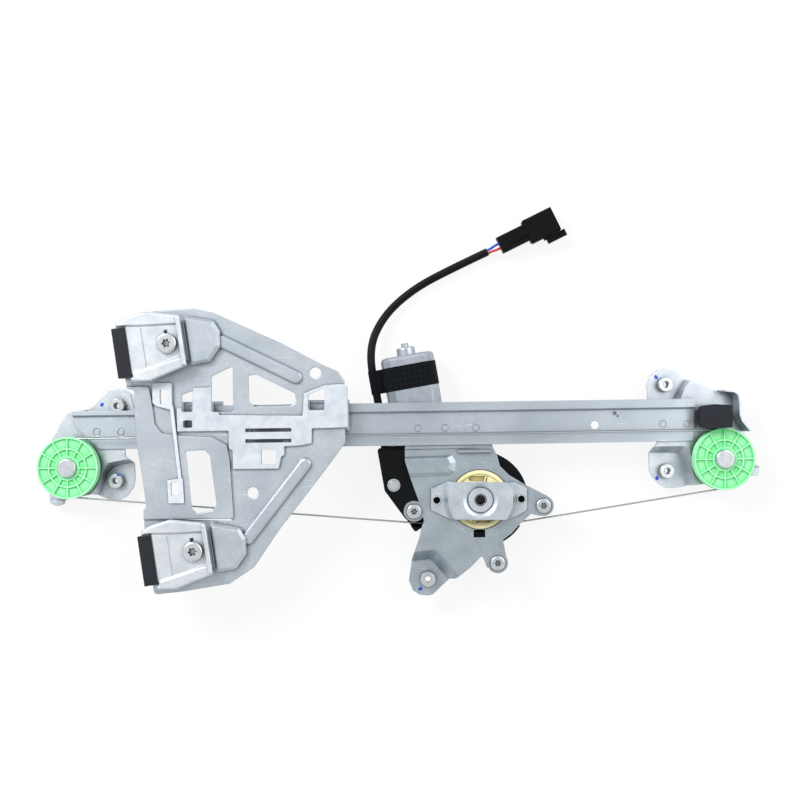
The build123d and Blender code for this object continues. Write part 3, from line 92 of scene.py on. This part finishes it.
# Fine relief whose grains are grainMm across and depthMm deep, over edges that look rounded by edgeMm.
def reliefOf(tree, coords, grainMm, depthMm, strength, edgeMm=0.0):
    grain = {"Vector": coords, "Scale": perMm(grainMm), "Detail": 2, "Roughness": 0.55}
    height = addNode(tree, "TexNoise", grain).outputs[0]
    sockets = {"Height": height, "Distance": depthMm / 1000, "Strength": strength}
    if edgeMm:
        sockets["Normal"] = addNode(tree, "Bevel", {"Radius": edgeMm / 1000}, samples=4).outputs[0]
    return addNode(tree, "Bump", sockets).outputs[0]


# Colours laid over each other: each row is how much of its colour shows, and the colour.
def layeredColor(tree, ground, layers):
    body = linearColor(ground)
    for share, code in layers:
        sockets = {0: share, 6: body, 7: linearColor(code)}
        body = addNode(tree, "Mix", sockets, data_type="RGBA").outputs[2]
    return body


def startMaterial(name):
    material = bpy.data.materials.new(name)
    material.use_nodes = True
    tree = material.node_tree
    tree.nodes.clear()
    shader = addNode(tree, "BsdfPrincipled")
    addNode(tree, "OutputMaterial", {"Surface": shader.outputs[0]})
    coords = addNode(tree, "TexCoord").outputs["Object"]
    return material, tree, shader, coords


def connect(tree, shader, **sockets):
    for name, value in sockets.items():
        setSocket(tree, shader.inputs[name.replace("_", " ")], value)


# Pressed steel sheet with bright zinc plating: cool satin grey, faint clouds from the bath, a fine crystal
# mottle, rolling grain that shows only in the gloss, a few handling scratches, and painted shade in folds.
zincSheet = {
    "pale": "#C2C9CF", "dull": "#A6AFB7", "scratch": "#E3E8EC", "crease": "#454B52",
    "cloudMm": 34, "crystalMm": 1.6, "crystalMost": 0.7, "crystalBand": (0.42, 0.62),
    "scratchMm": 30, "scratchStretch": 26.0, "scratchTurn": 0.35, "scratchMost": 0.6,
    "scratchBand": (0.715, 0.735), "grainMm": 0.5, "grainStretch": 14.0, "roughness": (0.34, 0.46),
    "edgeMm": 0.6, "depthMm": 0.03, "relief": 0.5, "creaseMm": 5, "creaseMost": 0.66, "metallic": 0.8,
}
# Dark patches laid on a sheet: real rub marks, and painted shade under slots; both use this look.
rubAndShadeLook = {"color": "#2A2D30", "most": 0.85, "fade": 1.9, "raggedMm": 2.0}


def platedSteelSheet(name, look, rubsAndShade=()):
    material, tree, shader, coords = startMaterial(name)
    slant, turn = (1.0, look["scratchStretch"], 1.0), (0, 0, look["scratchTurn"])
    slanted = addNode(tree, "Mapping", {"Vector": coords, "Scale": slant, "Rotation": turn}).outputs[0]
    along = (1.0, look["grainStretch"], 1.0)
    rolled = addNode(tree, "Mapping", {"Vector": coords, "Scale": along}).outputs[0]
    crystal = patternOf(tree, coords, look["crystalMm"], 4, 0, look["crystalMost"], look["crystalBand"], 0.75)
    scratch = patternOf(tree, slanted, look["scratchMm"], 2, 0, look["scratchMost"], look["scratchBand"])
    layers = [
        (patternOf(tree, coords, look["cloudMm"], 5), look["dull"]),
        (crystal, look["dull"]),
        (scratch, look["scratch"]),
    ]
    # Each row lays a dark patch: a real rub on the rail, or painted shade under the shoe's slots on the
    # carrier.
    for row in rubsAndShade:  # a dark rub is full inside its radius, gone at the fade times that, and ragged
        gap = addNode(tree, "VectorMath", {0: coords, 1: row["at"]}, operation="SUBTRACT").outputs[0]
        squeezed = addNode(tree, "Mapping", {"Vector": gap, "Scale": row["squeeze"]}).outputs[0]
        away = addNode(tree, "VectorMath", {0: squeezed}, operation="LENGTH").outputs["Value"]
        torn = patternOf(tree, coords, rubAndShadeLook["raggedMm"], 4, 0, row["radius"], rough=0.8)
        ragged = addNode(tree, "Math", {0: away, 1: torn}, operation="ADD").outputs[0]
        mark = addNode(tree, "MapRange", {
            "Value": ragged, "From Min": row["radius"], "From Max": row["radius"] * rubAndShadeLook["fade"],
            "To Min": rubAndShadeLook["most"], "To Max": 0.0,
        }).outputs[0]
        layers.append((mark, rubAndShadeLook["color"]))
    # Painted shade in folds and corners.
    layers.append((creaseOf(tree, look["creaseMm"], look["creaseMost"]), look["crease"]))
    rough = patternOf(tree, rolled, look["grainMm"] * look["grainStretch"], 3, *look["roughness"])
    normal = reliefOf(tree, coords, look["grainMm"], look["depthMm"], look["relief"], look["edgeMm"])
    connect(tree, shader, Base_Color=layeredColor(tree, look["pale"], layers), Roughness=rough)
    connect(tree, shader, Metallic=look["metallic"], Normal=normal)
    return material


# Machined, drawn, cast, sintered or cold-headed metal: one family, told apart by colour, grain and shine.
# The clouds are twelve grains across unless a size is given.
metalLook = {
    "cloudDetail": 4, "relief": 0.5, "depthMm": 0.03, "edgeMm": 0.3, "metallic": 1.0,
    "crease": None, "creaseMm": 7, "creaseMost": 1.0,
}
headedZinc = {
    "cloudMm": 5, "cloudDetail": 3, "relief": 0.4, "edgeMm": 0.35, "metallic": 0.9,
    "crease": "#1C1F22", "creaseMm": 6,
}


def workedMetal(name, pale, dull, roughLow, roughHigh, grainMm, **changes):
    look = {"cloudMm": grainMm * 12, **metalLook, **changes}
    material, tree, shader, coords = startMaterial(name)
    cloud = patternOf(tree, coords, look["cloudMm"], look["cloudDetail"])
    layers = [(cloud, dull)]
    # Painted shade in sockets and corners, where a shade colour is given.
    if look["crease"]:
        layers.append((creaseOf(tree, look["creaseMm"], look["creaseMost"]), look["crease"]))
    rough = addNode(tree, "MapRange", {"Value": cloud, "To Min": roughLow, "To Max": roughHigh}).outputs[0]
    normal = reliefOf(tree, coords, grainMm, look["depthMm"], look["relief"], look["edgeMm"])
    connect(tree, shader, Base_Color=layeredColor(tree, pale, layers), Roughness=rough)
    connect(tree, shader, Metallic=look["metallic"], Normal=normal)
    return material


# Moulded plastic or rubber, or brushed paint: an even colour with slight flow or dust shading, and the fine
# spark texture of the mould. The roughness runs as far as its spread to each side.
plasticLook = {
    "flowMm": 30, "flowDetail": 2, "roughSpread": 0.05, "sparkMm": 0.5, "depthMm": 0.02, "relief": 0.5,
    "edgeMm": 0.4, "ior": 1.48, "gloss": 0.5, "glow": 0.0, "glowDepth": 0.002, "through": 0.0,
    "crease": None, "creaseMm": 3, "creaseMost": 0.85, "creaseBand": (0.3, 0.85),
}


def mouldedPlastic(name, pale, deep, roughness, **changes):
    look = {**plasticLook, **changes}
    material, tree, shader, coords = startMaterial(name)
    flow = patternOf(tree, coords, look["flowMm"], look["flowDetail"])
    layers = [(flow, deep)]
    # Painted shade in slots, corners and between ribs, where a shade colour is given.
    if look["crease"]:
        crease = creaseOf(tree, look["creaseMm"], look["creaseMost"], look["creaseBand"])
        layers.append((crease, look["crease"]))
    low, high = roughness - look["roughSpread"], roughness + look["roughSpread"]
    rough = addNode(tree, "MapRange", {"Value": flow, "To Min": low, "To Max": high}).outputs[0]
    normal = reliefOf(tree, coords, look["sparkMm"], look["depthMm"], look["relief"], look["edgeMm"])
    connect(tree, shader, Base_Color=layeredColor(tree, pale, layers), Roughness=rough, Normal=normal)
    connect(tree, shader, IOR=look["ior"], Specular_IOR_Level=look["gloss"])
    if look["glow"]:  # light scatters inside the resin
        connect(tree, shader, Subsurface_Weight=look["glow"], Subsurface_Scale=look["glowDepth"])
        connect(tree, shader, Subsurface_Radius=(1.0, 1.0, 1.0))
    if look["through"]:
        connect(tree, shader, Transmission_Weight=look["through"])
    return material


# Woven cloth tape with a dull resin face: a matt black with a weave of ribs both ways, with painted shade
# that leaves the hollows a little darker than the ribs. The real threads, about half a millimetre apart, are
# too fine to show, so the ribs are drawn 4.4 mm apart: radianMm is one radian of the wave, and the wave
# texture has 20 radians to a unit.
tapeLook = {
    "hollow": "#050609", "rib": "#101318", "radianMm": 0.7, "wander": 0.3, "turnDeg": -99.4,
    "depthMm": 0.12, "relief": 0.6, "roughness": 0.75, "gloss": 0.08,
}


def clothTape(name, look):
    material, tree, shader, coords = startMaterial(name)
    turn = (0, 0, math.radians(look["turnDeg"]))
    turned = addNode(tree, "Mapping", {"Vector": coords, "Rotation": turn}).outputs[0]
    wave = {"Vector": turned, "Scale": perMm(look["radianMm"]) / 20, "Distortion": look["wander"]}
    ribs = [addNode(tree, "TexWave", wave, bands_direction=axis).outputs[1] for axis in "XY"]
    weave = addNode(tree, "Math", dict(enumerate(ribs)), operation="MAXIMUM").outputs[0]
    raised = {"Height": weave, "Distance": look["depthMm"] / 1000, "Strength": look["relief"]}
    # Painted shade: hollows darker, ribs lighter, following the weave's height.
    connect(tree, shader, Base_Color=layeredColor(tree, look["hollow"], [(weave, look["rib"])]))
    connect(tree, shader, Roughness=look["roughness"], Specular_IOR_Level=look["gloss"])
    connect(tree, shader, Normal=addNode(tree, "Bump", raised).outputs[0])
    return material


# Stranded steel cable: six drawn strands, painted highlight on their crowns, painted shade in the lays
# between.
# The lobes are in the mesh; the map "lay" holds how far each point stands out, 0 in a groove, 1 on a crown.
strandLook = {
    "layShade": "#45494D", "bright": "#B3B7BA", "band": (0.1, 0.7), "wireMm": 0.25, "depthMm": 0.02, "relief": 0.4,
    "roughness": 0.36, "metallic": 0.9,
}


def strandedCable(name, look):
    material, tree, shader, coords = startMaterial(name)
    crown = addNode(tree, "Attribute", attribute_name="lay").outputs["Fac"]
    crown = addNode(tree, "MapRange", {
        "Value": crown, "From Min": look["band"][0], "From Max": look["band"][1],
    }).outputs[0]
    # Painted shade in the lays, painted highlight on the crowns.
    body = layeredColor(tree, look["layShade"], [(crown, look["bright"])])
    normal = reliefOf(tree, coords, look["wireMm"], look["depthMm"], look["relief"])
    connect(tree, shader, Base_Color=body, Normal=normal)
    connect(tree, shader, Roughness=look["roughness"], Metallic=look["metallic"])
    return material


finishes = {
    "zinc_steel": platedSteelSheet("zincPlatedSteelSheet", zincSheet),
    # cold-headed and zinc plated: paler and smoother than the sheet, with painted shade where a head meets
    # its seat
    "plated_screw": workedMetal("brightZincFastener", "#D2D7DA", "#B6BDC1", 0.24, 0.36, 0.35, **headedZinc),
    # ground: cool and smooth, with painted black shade in its sockets
    "tool_steel": workedMetal("groundToolSteel", "#A9ABAD", "#8E9194", 0.25, 0.35, 0.5, crease="#08090A"),
    # drawn and oiled: mid grey with a soft shine
    "cable_steel": workedMetal("drawnCableWire", "#8B8F92", "#6B6F73", 0.35, 0.45, 0.3),
    # moulded acetal, dyed: waxy, light inside, with painted shade, a deeper green, between the ribs
    "mint_plastic": mouldedPlastic(
        "mintAcetal", "#B4F6C6", "#A4EFB8", 0.36, glow=0.2,
        crease="#74E394", creaseMm=8, creaseMost=1.0, creaseBand=(0.7, 0.97),
    ),
    # moulded acetal, undyed: cool white that lets a little light through, cloudy where it cooled last,
    # with painted dark shade in its slots and corners
    "milky_plastic": mouldedPlastic(
        "milkyAcetal", "#D6DCE3", "#BEC6CF", 0.36, flowMm=9, glow=0.1, through=0.05, crease="#24282C",
    ),
    # moulded acetal, cream: waxy, with painted brownish shade in the corners
    "cream_plastic": mouldedPlastic("creamAcetal", "#FBF5C8", "#F0E7AE", 0.4, glow=0.2, crease="#857B52"),
    # moulded nylon full of glass fibre: dull black, faintly grainy
    "black_plastic": mouldedPlastic(
        "glassFilledNylon", "#06080A", "#0C0E11", 0.55, sparkMm=0.9, depthMm=0.08, gloss=0.09,
    ),
    # moulded nitrile rubber: near black, a dusty sheen and soft dimples
    "black_rubber": mouldedPlastic(
        "mouldedNitrileRubber", "#0C0E14", "#1C202A", 0.58, roughSpread=0.08, flowMm=9, flowDetail=4,
        sparkMm=0.8, depthMm=0.06, edgeMm=0.6, ior=1.5, gloss=0.3,
    ),
    # deep drawn can, zinc plated: bluish satin
    "motor_steel": workedMetal("drawnZincCan", "#B4BAC2", "#98A0AA", 0.34, 0.46, 0.6, metallic=0.85),
    # turned: warm and bright
    "copper": workedMetal("turnedCopper", "#C77F52", "#A9653E", 0.25, 0.4, 0.4),
    # punched and stacked: dark, dull grey
    "core_steel": workedMetal("stackedCoreSteel", "#5A5C60", "#45474B", 0.45, 0.6, 0.5),
    # pressed and fired ceramic: matt charcoal with a coarse grain
    "ferrite": workedMetal("pressedFerrite", "#3A3B3F", "#2B2C30", 0.6, 0.75, 0.8, metallic=0.0, depthMm=0.1),
    # pressed: soft black
    "carbon": mouldedPlastic("pressedCarbon", "#232323", "#2F2F2F", 0.6),
    # sintered: dull gold
    "bronze": workedMetal("sinteredBronze", "#B58A55", "#94703F", 0.4, 0.55, 0.5),
    "tape": clothTape("blackClothTape", tapeLook),
    # extruded vinyl: black with a soft ripple
    "black_sleeve": mouldedPlastic(
        "vinylSleeving", "#06080B", "#0D1014", 0.45, sparkMm=1.2, depthMm=0.06, gloss=0.12,
    ),
    # extruded vinyl, dyed: strong even colour, slightly shiny
    "blue_wire": mouldedPlastic("blueWireInsulation", "#2E4BD8", "#2440C0", 0.35),
    "red_wire": mouldedPlastic("redWireInsulation", "#D8202A", "#BC1820", 0.35),
    # stamped and tinned: warm white metal
    "tin": workedMetal("tinnedBlade", "#D2D2CC", "#B9B9B2", 0.25, 0.35, 0.3),
}

# Dark marks, in metres: two small rub marks on the rail, and painted shade on the carrier under the shoe's
# two slots.
railRubs = [
    {"at": (0.1795, 0.0297, 0.0), "squeeze": (1.0, 1.0, 0.0), "radius": 0.0016},
    {"at": (0.1822, 0.0272, 0.0), "squeeze": (1.0, 1.0, 0.0), "radius": 0.0009},
]
plateSlotShade = [
    {"at": (-0.1067, 0.0200, 0.0), "squeeze": (0.15, 1.0, 0.0), "radius": 0.003},
    {"at": (-0.1067, 0.0111, 0.0), "squeeze": (0.15, 1.0, 0.0), "radius": 0.003},
]
# Lighter and darker copies of the zinc sheet that stand in for light and shade: the rail and the drive
# bracket painted darker as shade, the bridge strap, the jaws and the ears painted lighter as light; the rail,
# drive bracket, carrier and ears carry stronger painted shade in their folds.
railShadedSheet = dict(zincSheet, pale="#BCC4CC", dull="#A2ABB3", crease="#32373C", creaseMost=0.8, cloudMm=60)
driveShadedSheet = dict(zincSheet, pale="#B1BAC1", dull="#949EA6", crease="#32373C", creaseMost=0.85, cloudMm=18)
strapLitSheet = dict(zincSheet, pale="#D0D7DD", dull="#AFB8C0", cloudMm=12)
jawLitSheet = dict(zincSheet, pale="#DDE1E5", dull="#BEC5CB", cloudMm=14, crystalMm=1.2, edgeMm=1.2)
plateShadedSheet = dict(zincSheet, crease="#1E2226", creaseMm=3.2, creaseMost=0.95, cloudMm=26, edgeMm=1.6)
earLitSheet = dict(
    zincSheet, pale="#CED4DA", dull="#AFB7BF", crease="#32373C", creaseMm=8, creaseMost=0.8, cloudMm=22,
)
jawLitFinish = platedSteelSheet("stampedJawSteelLit", jawLitSheet)
earLitFinish = platedSteelSheet("pressedEarSteelLit", earLitSheet)
# These nodes get the lighter and darker copies, as painted light and painted shade; the arm gets a paler copy
# of the milky resin, as painted light, with lighter painted shade in its corners.
litAndShadedCopies = {  # nodes whose sheet or resin differs from the rest of their slot
    "guide_rail": platedSteelSheet("rolledRailSteelShaded", railShadedSheet, railRubs),
    "motor_bracket": platedSteelSheet("stampedDriveSteelShaded", driveShadedSheet),
    "drum_bridge": platedSteelSheet("stampedStrapSteelLit", strapLitSheet),
    "carrier_plate": platedSteelSheet("pressedCarrierSteelShaded", plateShadedSheet, plateSlotShade),
    "upper_clamp_plate": jawLitFinish,
    "lower_clamp_plate": jawLitFinish,
    "left_end_bracket": earLitFinish,
    "right_end_bracket": earLitFinish,
    "slider_arm": mouldedPlastic(
        "milkyAcetalArmLit", "#DAE0E6", "#CBD2D9", 0.36, flowMm=9, glow=0.1, crease="#9AA2AA",
    ),
}
for row in frame["record"]["subparts"]:
    piece = nodes[row["node"]]
    piece.data.materials.clear()
    piece.data.materials.append(litAndShadedCopies.get(row["node"], finishes[row["material_slot"]]))
print("finishes set")

# Camera straight above the rail, as the photograph was taken; the picture is square.
cameraLook = {"place": (0.00084, 0.04312, 1.3505), "rollDeg": -0.8, "sensor": 36, "lens": 71.28}
camera = bpy.data.objects.new("camera", bpy.data.cameras.new("camera"))
bpy.context.scene.collection.objects.link(camera)
camera.location = cameraLook["place"]
camera.rotation_euler = (0, 0, math.radians(cameraLook["rollDeg"]))
camera.data.sensor_width = cameraLook["sensor"]
camera.data.lens = cameraLook["lens"]
bpy.context.scene.camera = camera

# Pigtail: a vinyl sleeve over the two leads, from the gland beside the motor to short of the plug.
pigtail = {
    "diameter": 0.0067,
    "length": 0.2194,
    "route": [
        (-0.0113, 0.00349, 0.0145), (-0.01799, 0.04394, 0.0145), (-0.02544, 0.08527, 0.0145),
        (-0.01266, 0.11432, 0.0057), (0.01334, 0.13732, 0.0041), (0.04784, 0.15482, 0.0041),
        (0.07684, 0.16782, 0.006),
    ],
}


def sleeveCurve(look):
    curve = bpy.data.curves.new("pigtailSleeve", "CURVE")
    curve.dimensions = "3D"
    curve.bevel_depth = look["diameter"] / 2
    curve.bevel_resolution = 6
    curve.resolution_u = 24
    curve.use_fill_caps = True
    spline = curve.splines.new("NURBS")
    spline.points.add(len(look["route"]) - 1)
    for point, place in zip(spline.points, look["route"]):
        point.co = (*place, 1)
    spline.order_u = 3
    spline.use_endpoint_u = True
    piece = bpy.data.objects.new("pigtailSleeve", curve)
    bpy.context.scene.collection.objects.link(piece)
    curve.materials.append(finishes["black_sleeve"])
    return piece


sleeve = sleeveCurve(pigtail)
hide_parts("pigtail_sleeve")
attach(sleeve, "frame")
print("pigtail laid")


def addMesh(name, points, faces, finish, body):
    mesh = bpy.data.meshes.new(name)
    mesh.from_pydata(points.tolist(), [], faces)
    mesh.polygons.foreach_set("use_smooth", np.ones(len(faces), dtype=bool))
    mesh.materials.append(finish)
    mesh.update()
    piece = bpy.data.objects.new(name, mesh)
    bpy.context.scene.collection.objects.link(piece)
    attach(piece, body)
    return piece


def tubeFaces(rows, columns):  # quads of a grid whose columns close on themselves
    r, c = np.meshgrid(np.arange(rows - 1), np.arange(columns), indexing="ij")
    here, right = r * columns + c, r * columns + (c + 1) % columns
    return np.stack([here, right, right + columns, here + columns], -1).reshape(-1, 4)


def fanFaces(centre, ring):  # triangles from one point to a closed ring of points
    return np.stack([np.full(len(ring), centre), ring, np.roll(ring, -1)], -1)


# Drive cables: six round strands laid round each other, carried along the run of the cable. A point's
# distance from the middle is the radius, less the depth's share of it where the cosine of three times its
# angle is nothing, and that angle is counted from a line that turns once in each lay:
# r(s, u) = radius * (1 - depth * (1 - |cos(3 * (u - 2 pi s / lay))|)), on the path's normal and binormal.
driveCable = {"radius": 0.00075, "strands": 6, "layMm": 9.0, "depth": 0.16, "stepMm": 0.7, "around": 36}
cableRun = {
    "drum": (0.0653, -0.0637), "drumRadius": 0.024,
    "pulleyY": -0.0333, "pulleyLift": 0.003, "pulleyRadius": 0.0244, "pulleyLeanDeg": 4.5,
    "railY": 0.01442, "endAngle": -112 / 1500,
    "counts": {"lower": 300, "wrap": 60, "upper": 60, "rail": 500},
}
bow = {"centreZ": -1.460, "cableRadius": 1.504, "sheetRadiusMm": 1500}
foot = np.array([0.00084, 0.02332, 0.0005])  # the drawing starts at the rail's crown, the frame at its foot


def cablePath(sideX, grooveZ, run):  # drum tangent, half turn round the pulley, tangent, arc along the rail
    drum, counts, bowR = np.array(run["drum"]), run["counts"], bow["cableRadius"]
    side = math.copysign(1, sideX)
    dx, dy = abs(sideX - drum[0]), run["pulleyY"] - drum[1]
    slope = math.atan2(dy, dx) + math.asin((run["drumRadius"] - run["pulleyRadius"]) / math.hypot(dx, dy))
    normal = np.array([side * math.sin(slope), -math.cos(slope)])
    start = np.array([*(drum + run["drumRadius"] * normal), grooveZ]) + foot
    lean = side * math.radians(run["pulleyLeanDeg"])
    height = bow["centreZ"] + math.sqrt(bowR**2 - sideX**2) + run["pulleyLift"]
    centre = np.array([sideX, run["pulleyY"], height]) + foot
    across, up = np.array([math.cos(lean), 0, -math.sin(lean)]), np.array([0, 1.0, 0])
    turn = np.linspace(-math.pi / 2 + slope, math.pi / 2, counts["wrap"])[:, None]
    wrap = centre + run["pulleyRadius"] * (np.cos(turn) * side * across + np.sin(turn) * up)
    crownX, crownZ = foot[0], bow["centreZ"] + foot[2]
    fromX, fromZ = wrap[-1, 0] - crownX, wrap[-1, 2] - crownZ
    first = math.atan2(fromX, fromZ) - side * math.acos(bowR / math.hypot(fromX, fromZ))
    angles = np.linspace(first, run["endAngle"], counts["rail"])
    level = np.full(counts["rail"], run["railY"])
    rail = np.stack([crownX + bowR * np.sin(angles), level, crownZ + bowR * np.cos(angles)], -1)
    lower = start + np.linspace(0, 1, counts["lower"])[:-1, None] * (wrap[0] - start)
    upper = wrap[-1] + np.linspace(0, 1, counts["upper"])[1:-1, None] * (rail[0] - wrap[-1])
    return np.concatenate([lower, wrap, upper, rail])


def twistedCable(name, path, look):
    steps = np.linalg.norm(np.diff(path, axis=0), axis=1)
    reach = np.concatenate([[0], np.cumsum(steps)])
    s = np.linspace(0, reach[-1], int(reach[-1] * 1000 / look["stepMm"]))
    line = np.stack([np.interp(s, reach, path[:, k]) for k in range(3)], -1)
    tangent = np.gradient(line, axis=0)
    tangent /= np.linalg.norm(tangent, axis=1)[:, None]
    first = np.cross(tangent, [0, 0, 1.0])
    first /= np.linalg.norm(first, axis=1)[:, None]
    second = np.cross(tangent, first)
    u = np.linspace(0, 2 * np.pi, look["around"], endpoint=False)
    phase = look["strands"] / 2 * (u[None] - 2 * np.pi * s[:, None] * 1000 / look["layMm"])
    crown = np.abs(np.cos(phase))
    r = look["radius"] * (1 - look["depth"] * (1 - crown))
    ring = np.cos(u)[None, :, None] * first[:, None] + np.sin(u)[None, :, None] * second[:, None]
    points = (line[:, None] + r[..., None] * ring).reshape(-1, 3)
    rim, last = np.arange(look["around"]), len(points) - look["around"]
    faces = tubeFaces(len(s), look["around"]).tolist()
    faces += fanFaces(len(points), rim[::-1]).tolist() + fanFaces(len(points) + 1, last + rim).tolist()
    points = np.concatenate([points, line[:1], line[-1:]])
    piece = addMesh(name, points, faces, strandFinish, "frame")
    layMap = piece.data.attributes.new("lay", "FLOAT", "POINT")
    layMap.data.foreach_set("value", np.concatenate([crown.ravel(), [0, 0]]).astype(np.float32))
    return piece


strandFinish = strandedCable("strandedSteelCable", strandLook)
for nodeName, sideX, grooveZ in (("left_cable", -0.2788, 0.0264), ("right_cable", 0.2704, 0.0318)):
    strands = twistedCable(nodeName + "Strands", cablePath(sideX, grooveZ, cableRun), driveCable)
    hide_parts(nodeName)
print("cables laid")

# Blue paint marks beside the tightened threads: a flat drop whose height falls with the fourth power of the
# way out from its middle, z(v) = height * (1 - v^4), and whose rim is a circle with two waves of different
# length on it, r(u) = radius * (1 + wave * (sin(2u + seed) + 0.6 sin(3u + 2.3 seed)) / 1.6).
paintMark = {
    "pale": "#2E55D6", "deep": "#2347BE", "roughness": 0.4, "radius": 0.0017, "height": 0.00022,
    "lift": 0.00002, "wave": 0.13, "rings": 9, "around": 40, "seedStep": 1.7,
}
paintSpots = [  # arc along the rail that the spot is bent to, and its x, y and z in the drawing's millimetres
    (-250, -6.6, 19.5, 26.5), (-250, 8.9, -40.2, 32.5), (240, -20.4, 36.2, 26.5), (240, -20.8, -49.2, 26.5),
    (0, 14.9, -138.4, 24.0),
]
paintFinish = mouldedPlastic("blueMarkingPaint", paintMark["pale"], paintMark["deep"], paintMark["roughness"])


def paintDrop(name, spot, look, seed):
    lean = spot[0] / bow["sheetRadiusMm"]
    middle = np.array(spot[1:]) / 1000 + (0, 0, look["lift"])
    u, rings = np.linspace(0, 2 * np.pi, look["around"], endpoint=False), look["rings"]
    v = np.linspace(0, 1, rings + 1)[1:, None]
    ripple = (np.sin(2 * u + seed) + 0.6 * np.sin(3 * u + 2.3 * seed)) / 1.6
    rim = look["radius"] * (1 + look["wave"] * ripple)
    rise = look["height"] * (1 - v**4) + 0 * u
    flat = middle + np.stack([v * rim * np.cos(u), v * rim * np.sin(u), rise], -1).reshape(-1, 3)
    flat = np.concatenate([flat, [middle + (0, 0, look["height"])]])
    x, y, swing = flat[:, 0], flat[:, 1], flat[:, 2] - bow["centreZ"]
    bentX = x * math.cos(lean) + swing * math.sin(lean)
    bentZ = swing * math.cos(lean) - x * math.sin(lean) + bow["centreZ"]
    points = np.stack([bentX, y, bentZ], -1) + foot
    faces = tubeFaces(rings, look["around"])[:, ::-1].tolist()
    faces += fanFaces(len(points) - 1, np.arange(look["around"])).tolist()
    return addMesh(name, points, faces, paintFinish, "frame")


for k, spot in enumerate(paintSpots):
    paintDrop("paintMark" + str(k + 1), spot, paintMark, k * paintMark["seedStep"])
print("paint marks made")

# A pale floor that the camera sees as nearly white with the part's shadow on it, and that metal mirrors less.
floorLook = {"half": 20.0, "z": -0.0002, "color": "#F4F5F6", "seenWhite": 0.86, "mirroredWhite": 0.6}
floorMesh = bpy.data.meshes.new("floor")
half, z = floorLook["half"], floorLook["z"]
corners = [(-half, -half, z), (half, -half, z), (half, half, z), (-half, half, z)]
floorMesh.from_pydata(corners, [], [(0, 1, 2, 3)])
floor = bpy.data.objects.new("floor", floorMesh)
bpy.context.scene.collection.objects.link(floor)
floorFinish = bpy.data.materials.new("paleFloor")
floorFinish.use_nodes = True
tree = floorFinish.node_tree
tree.nodes.clear()
plain = addNode(tree, "BsdfDiffuse", {"Color": linearColor(floorLook["color"])})
white = addNode(tree, "Emission", {"Color": (1, 1, 1, 1), "Strength": 1.0})
rays = addNode(tree, "LightPath").outputs
sockets = {0: rays["Is Camera Ray"], 1: rays["Is Transmission Ray"]}
direct = addNode(tree, "Math", sockets, operation="MAXIMUM").outputs[0]
direct = addNode(tree, "Math", {0: direct, 1: floorLook["seenWhite"]}, operation="MULTIPLY").outputs[0]
sockets = {0: rays["Is Glossy Ray"], 1: floorLook["mirroredWhite"]}
mirrored = addNode(tree, "Math", sockets, operation="MULTIPLY").outputs[0]
share = addNode(tree, "Math", {0: direct, 1: mirrored}, operation="MAXIMUM").outputs[0]
mixed = addNode(tree, "MixShader", {0: share, 1: plain.outputs[0], 2: white.outputs[0]})
addNode(tree, "OutputMaterial", {"Surface": mixed.outputs[0]})
floorMesh.materials.append(floorFinish)

# An even grey-white room for plain light; metal mirrors it a little darker overhead than at both ends.
roomLook = {"light": 0.5, "overhead": 0.72, "ends": 1.1, "endFrom": 0.1, "endTo": 0.38}
room = bpy.data.worlds.new("studio")
bpy.context.scene.world = room
room.use_nodes = True
sky = room.node_tree
sky.nodes.clear()
rays = addNode(sky, "LightPath").outputs
seen = rays["Is Camera Ray"]
for kind in ("Is Glossy Ray", "Is Transmission Ray"):
    seen = addNode(sky, "Math", {0: seen, 1: rays[kind]}, operation="MAXIMUM").outputs[0]
toward = addNode(sky, "SeparateXYZ", {"Vector": addNode(sky, "TexCoord").outputs["Generated"]}).outputs["X"]
sideways = addNode(sky, "Math", {0: toward}, operation="ABSOLUTE").outputs[0]
panel = addNode(sky, "MapRange", {
    "Value": sideways, "From Min": roomLook["endFrom"], "From Max": roomLook["endTo"],
    "To Min": roomLook["overhead"], "To Max": roomLook["ends"],
}).outputs[0]
backdrop = addNode(sky, "Math", {0: rays["Is Camera Ray"], 1: panel}, operation="MAXIMUM").outputs[0]
level = addNode(sky, "MapRange", {"Value": seen, "To Min": roomLook["light"], "To Max": backdrop}).outputs[0]
back = addNode(sky, "Background", {"Color": (1, 1, 1, 1), "Strength": level})
addNode(sky, "OutputWorld", {"Surface": back.outputs[0]})

lampRows = [  # square lamps turned to the middle of the part; mirrored says whether metal shows the lamp
    {"name": "keyLamp", "place": (-1.5, 1.4, 1.7), "size": 0.9, "watts": 55, "mirrored": True},
    {"name": "sideLamp", "place": (1.7, 0.9, 1.5), "size": 1.9, "watts": 27, "mirrored": True},
    {"name": "fillLamp", "place": (0.3, -1.7, 1.6), "size": 1.2, "watts": 5, "mirrored": False},
]
for row in lampRows:
    lamp = bpy.data.lights.new(row["name"], "AREA")
    lamp.size = row["size"]
    lamp.energy = row["watts"]
    holder = bpy.data.objects.new(row["name"], lamp)
    holder.location = row["place"]
    holder.visible_glossy = row["mirrored"]
    x, y, z = row["place"]
    holder.rotation_euler = (math.acos(z / math.hypot(x, y, z)), 0, math.atan2(-y, -x) - math.pi / 2)
    bpy.context.scene.collection.objects.link(holder)
bpy.context.scene.view_settings.view_transform = "Standard"
print("stage lit")
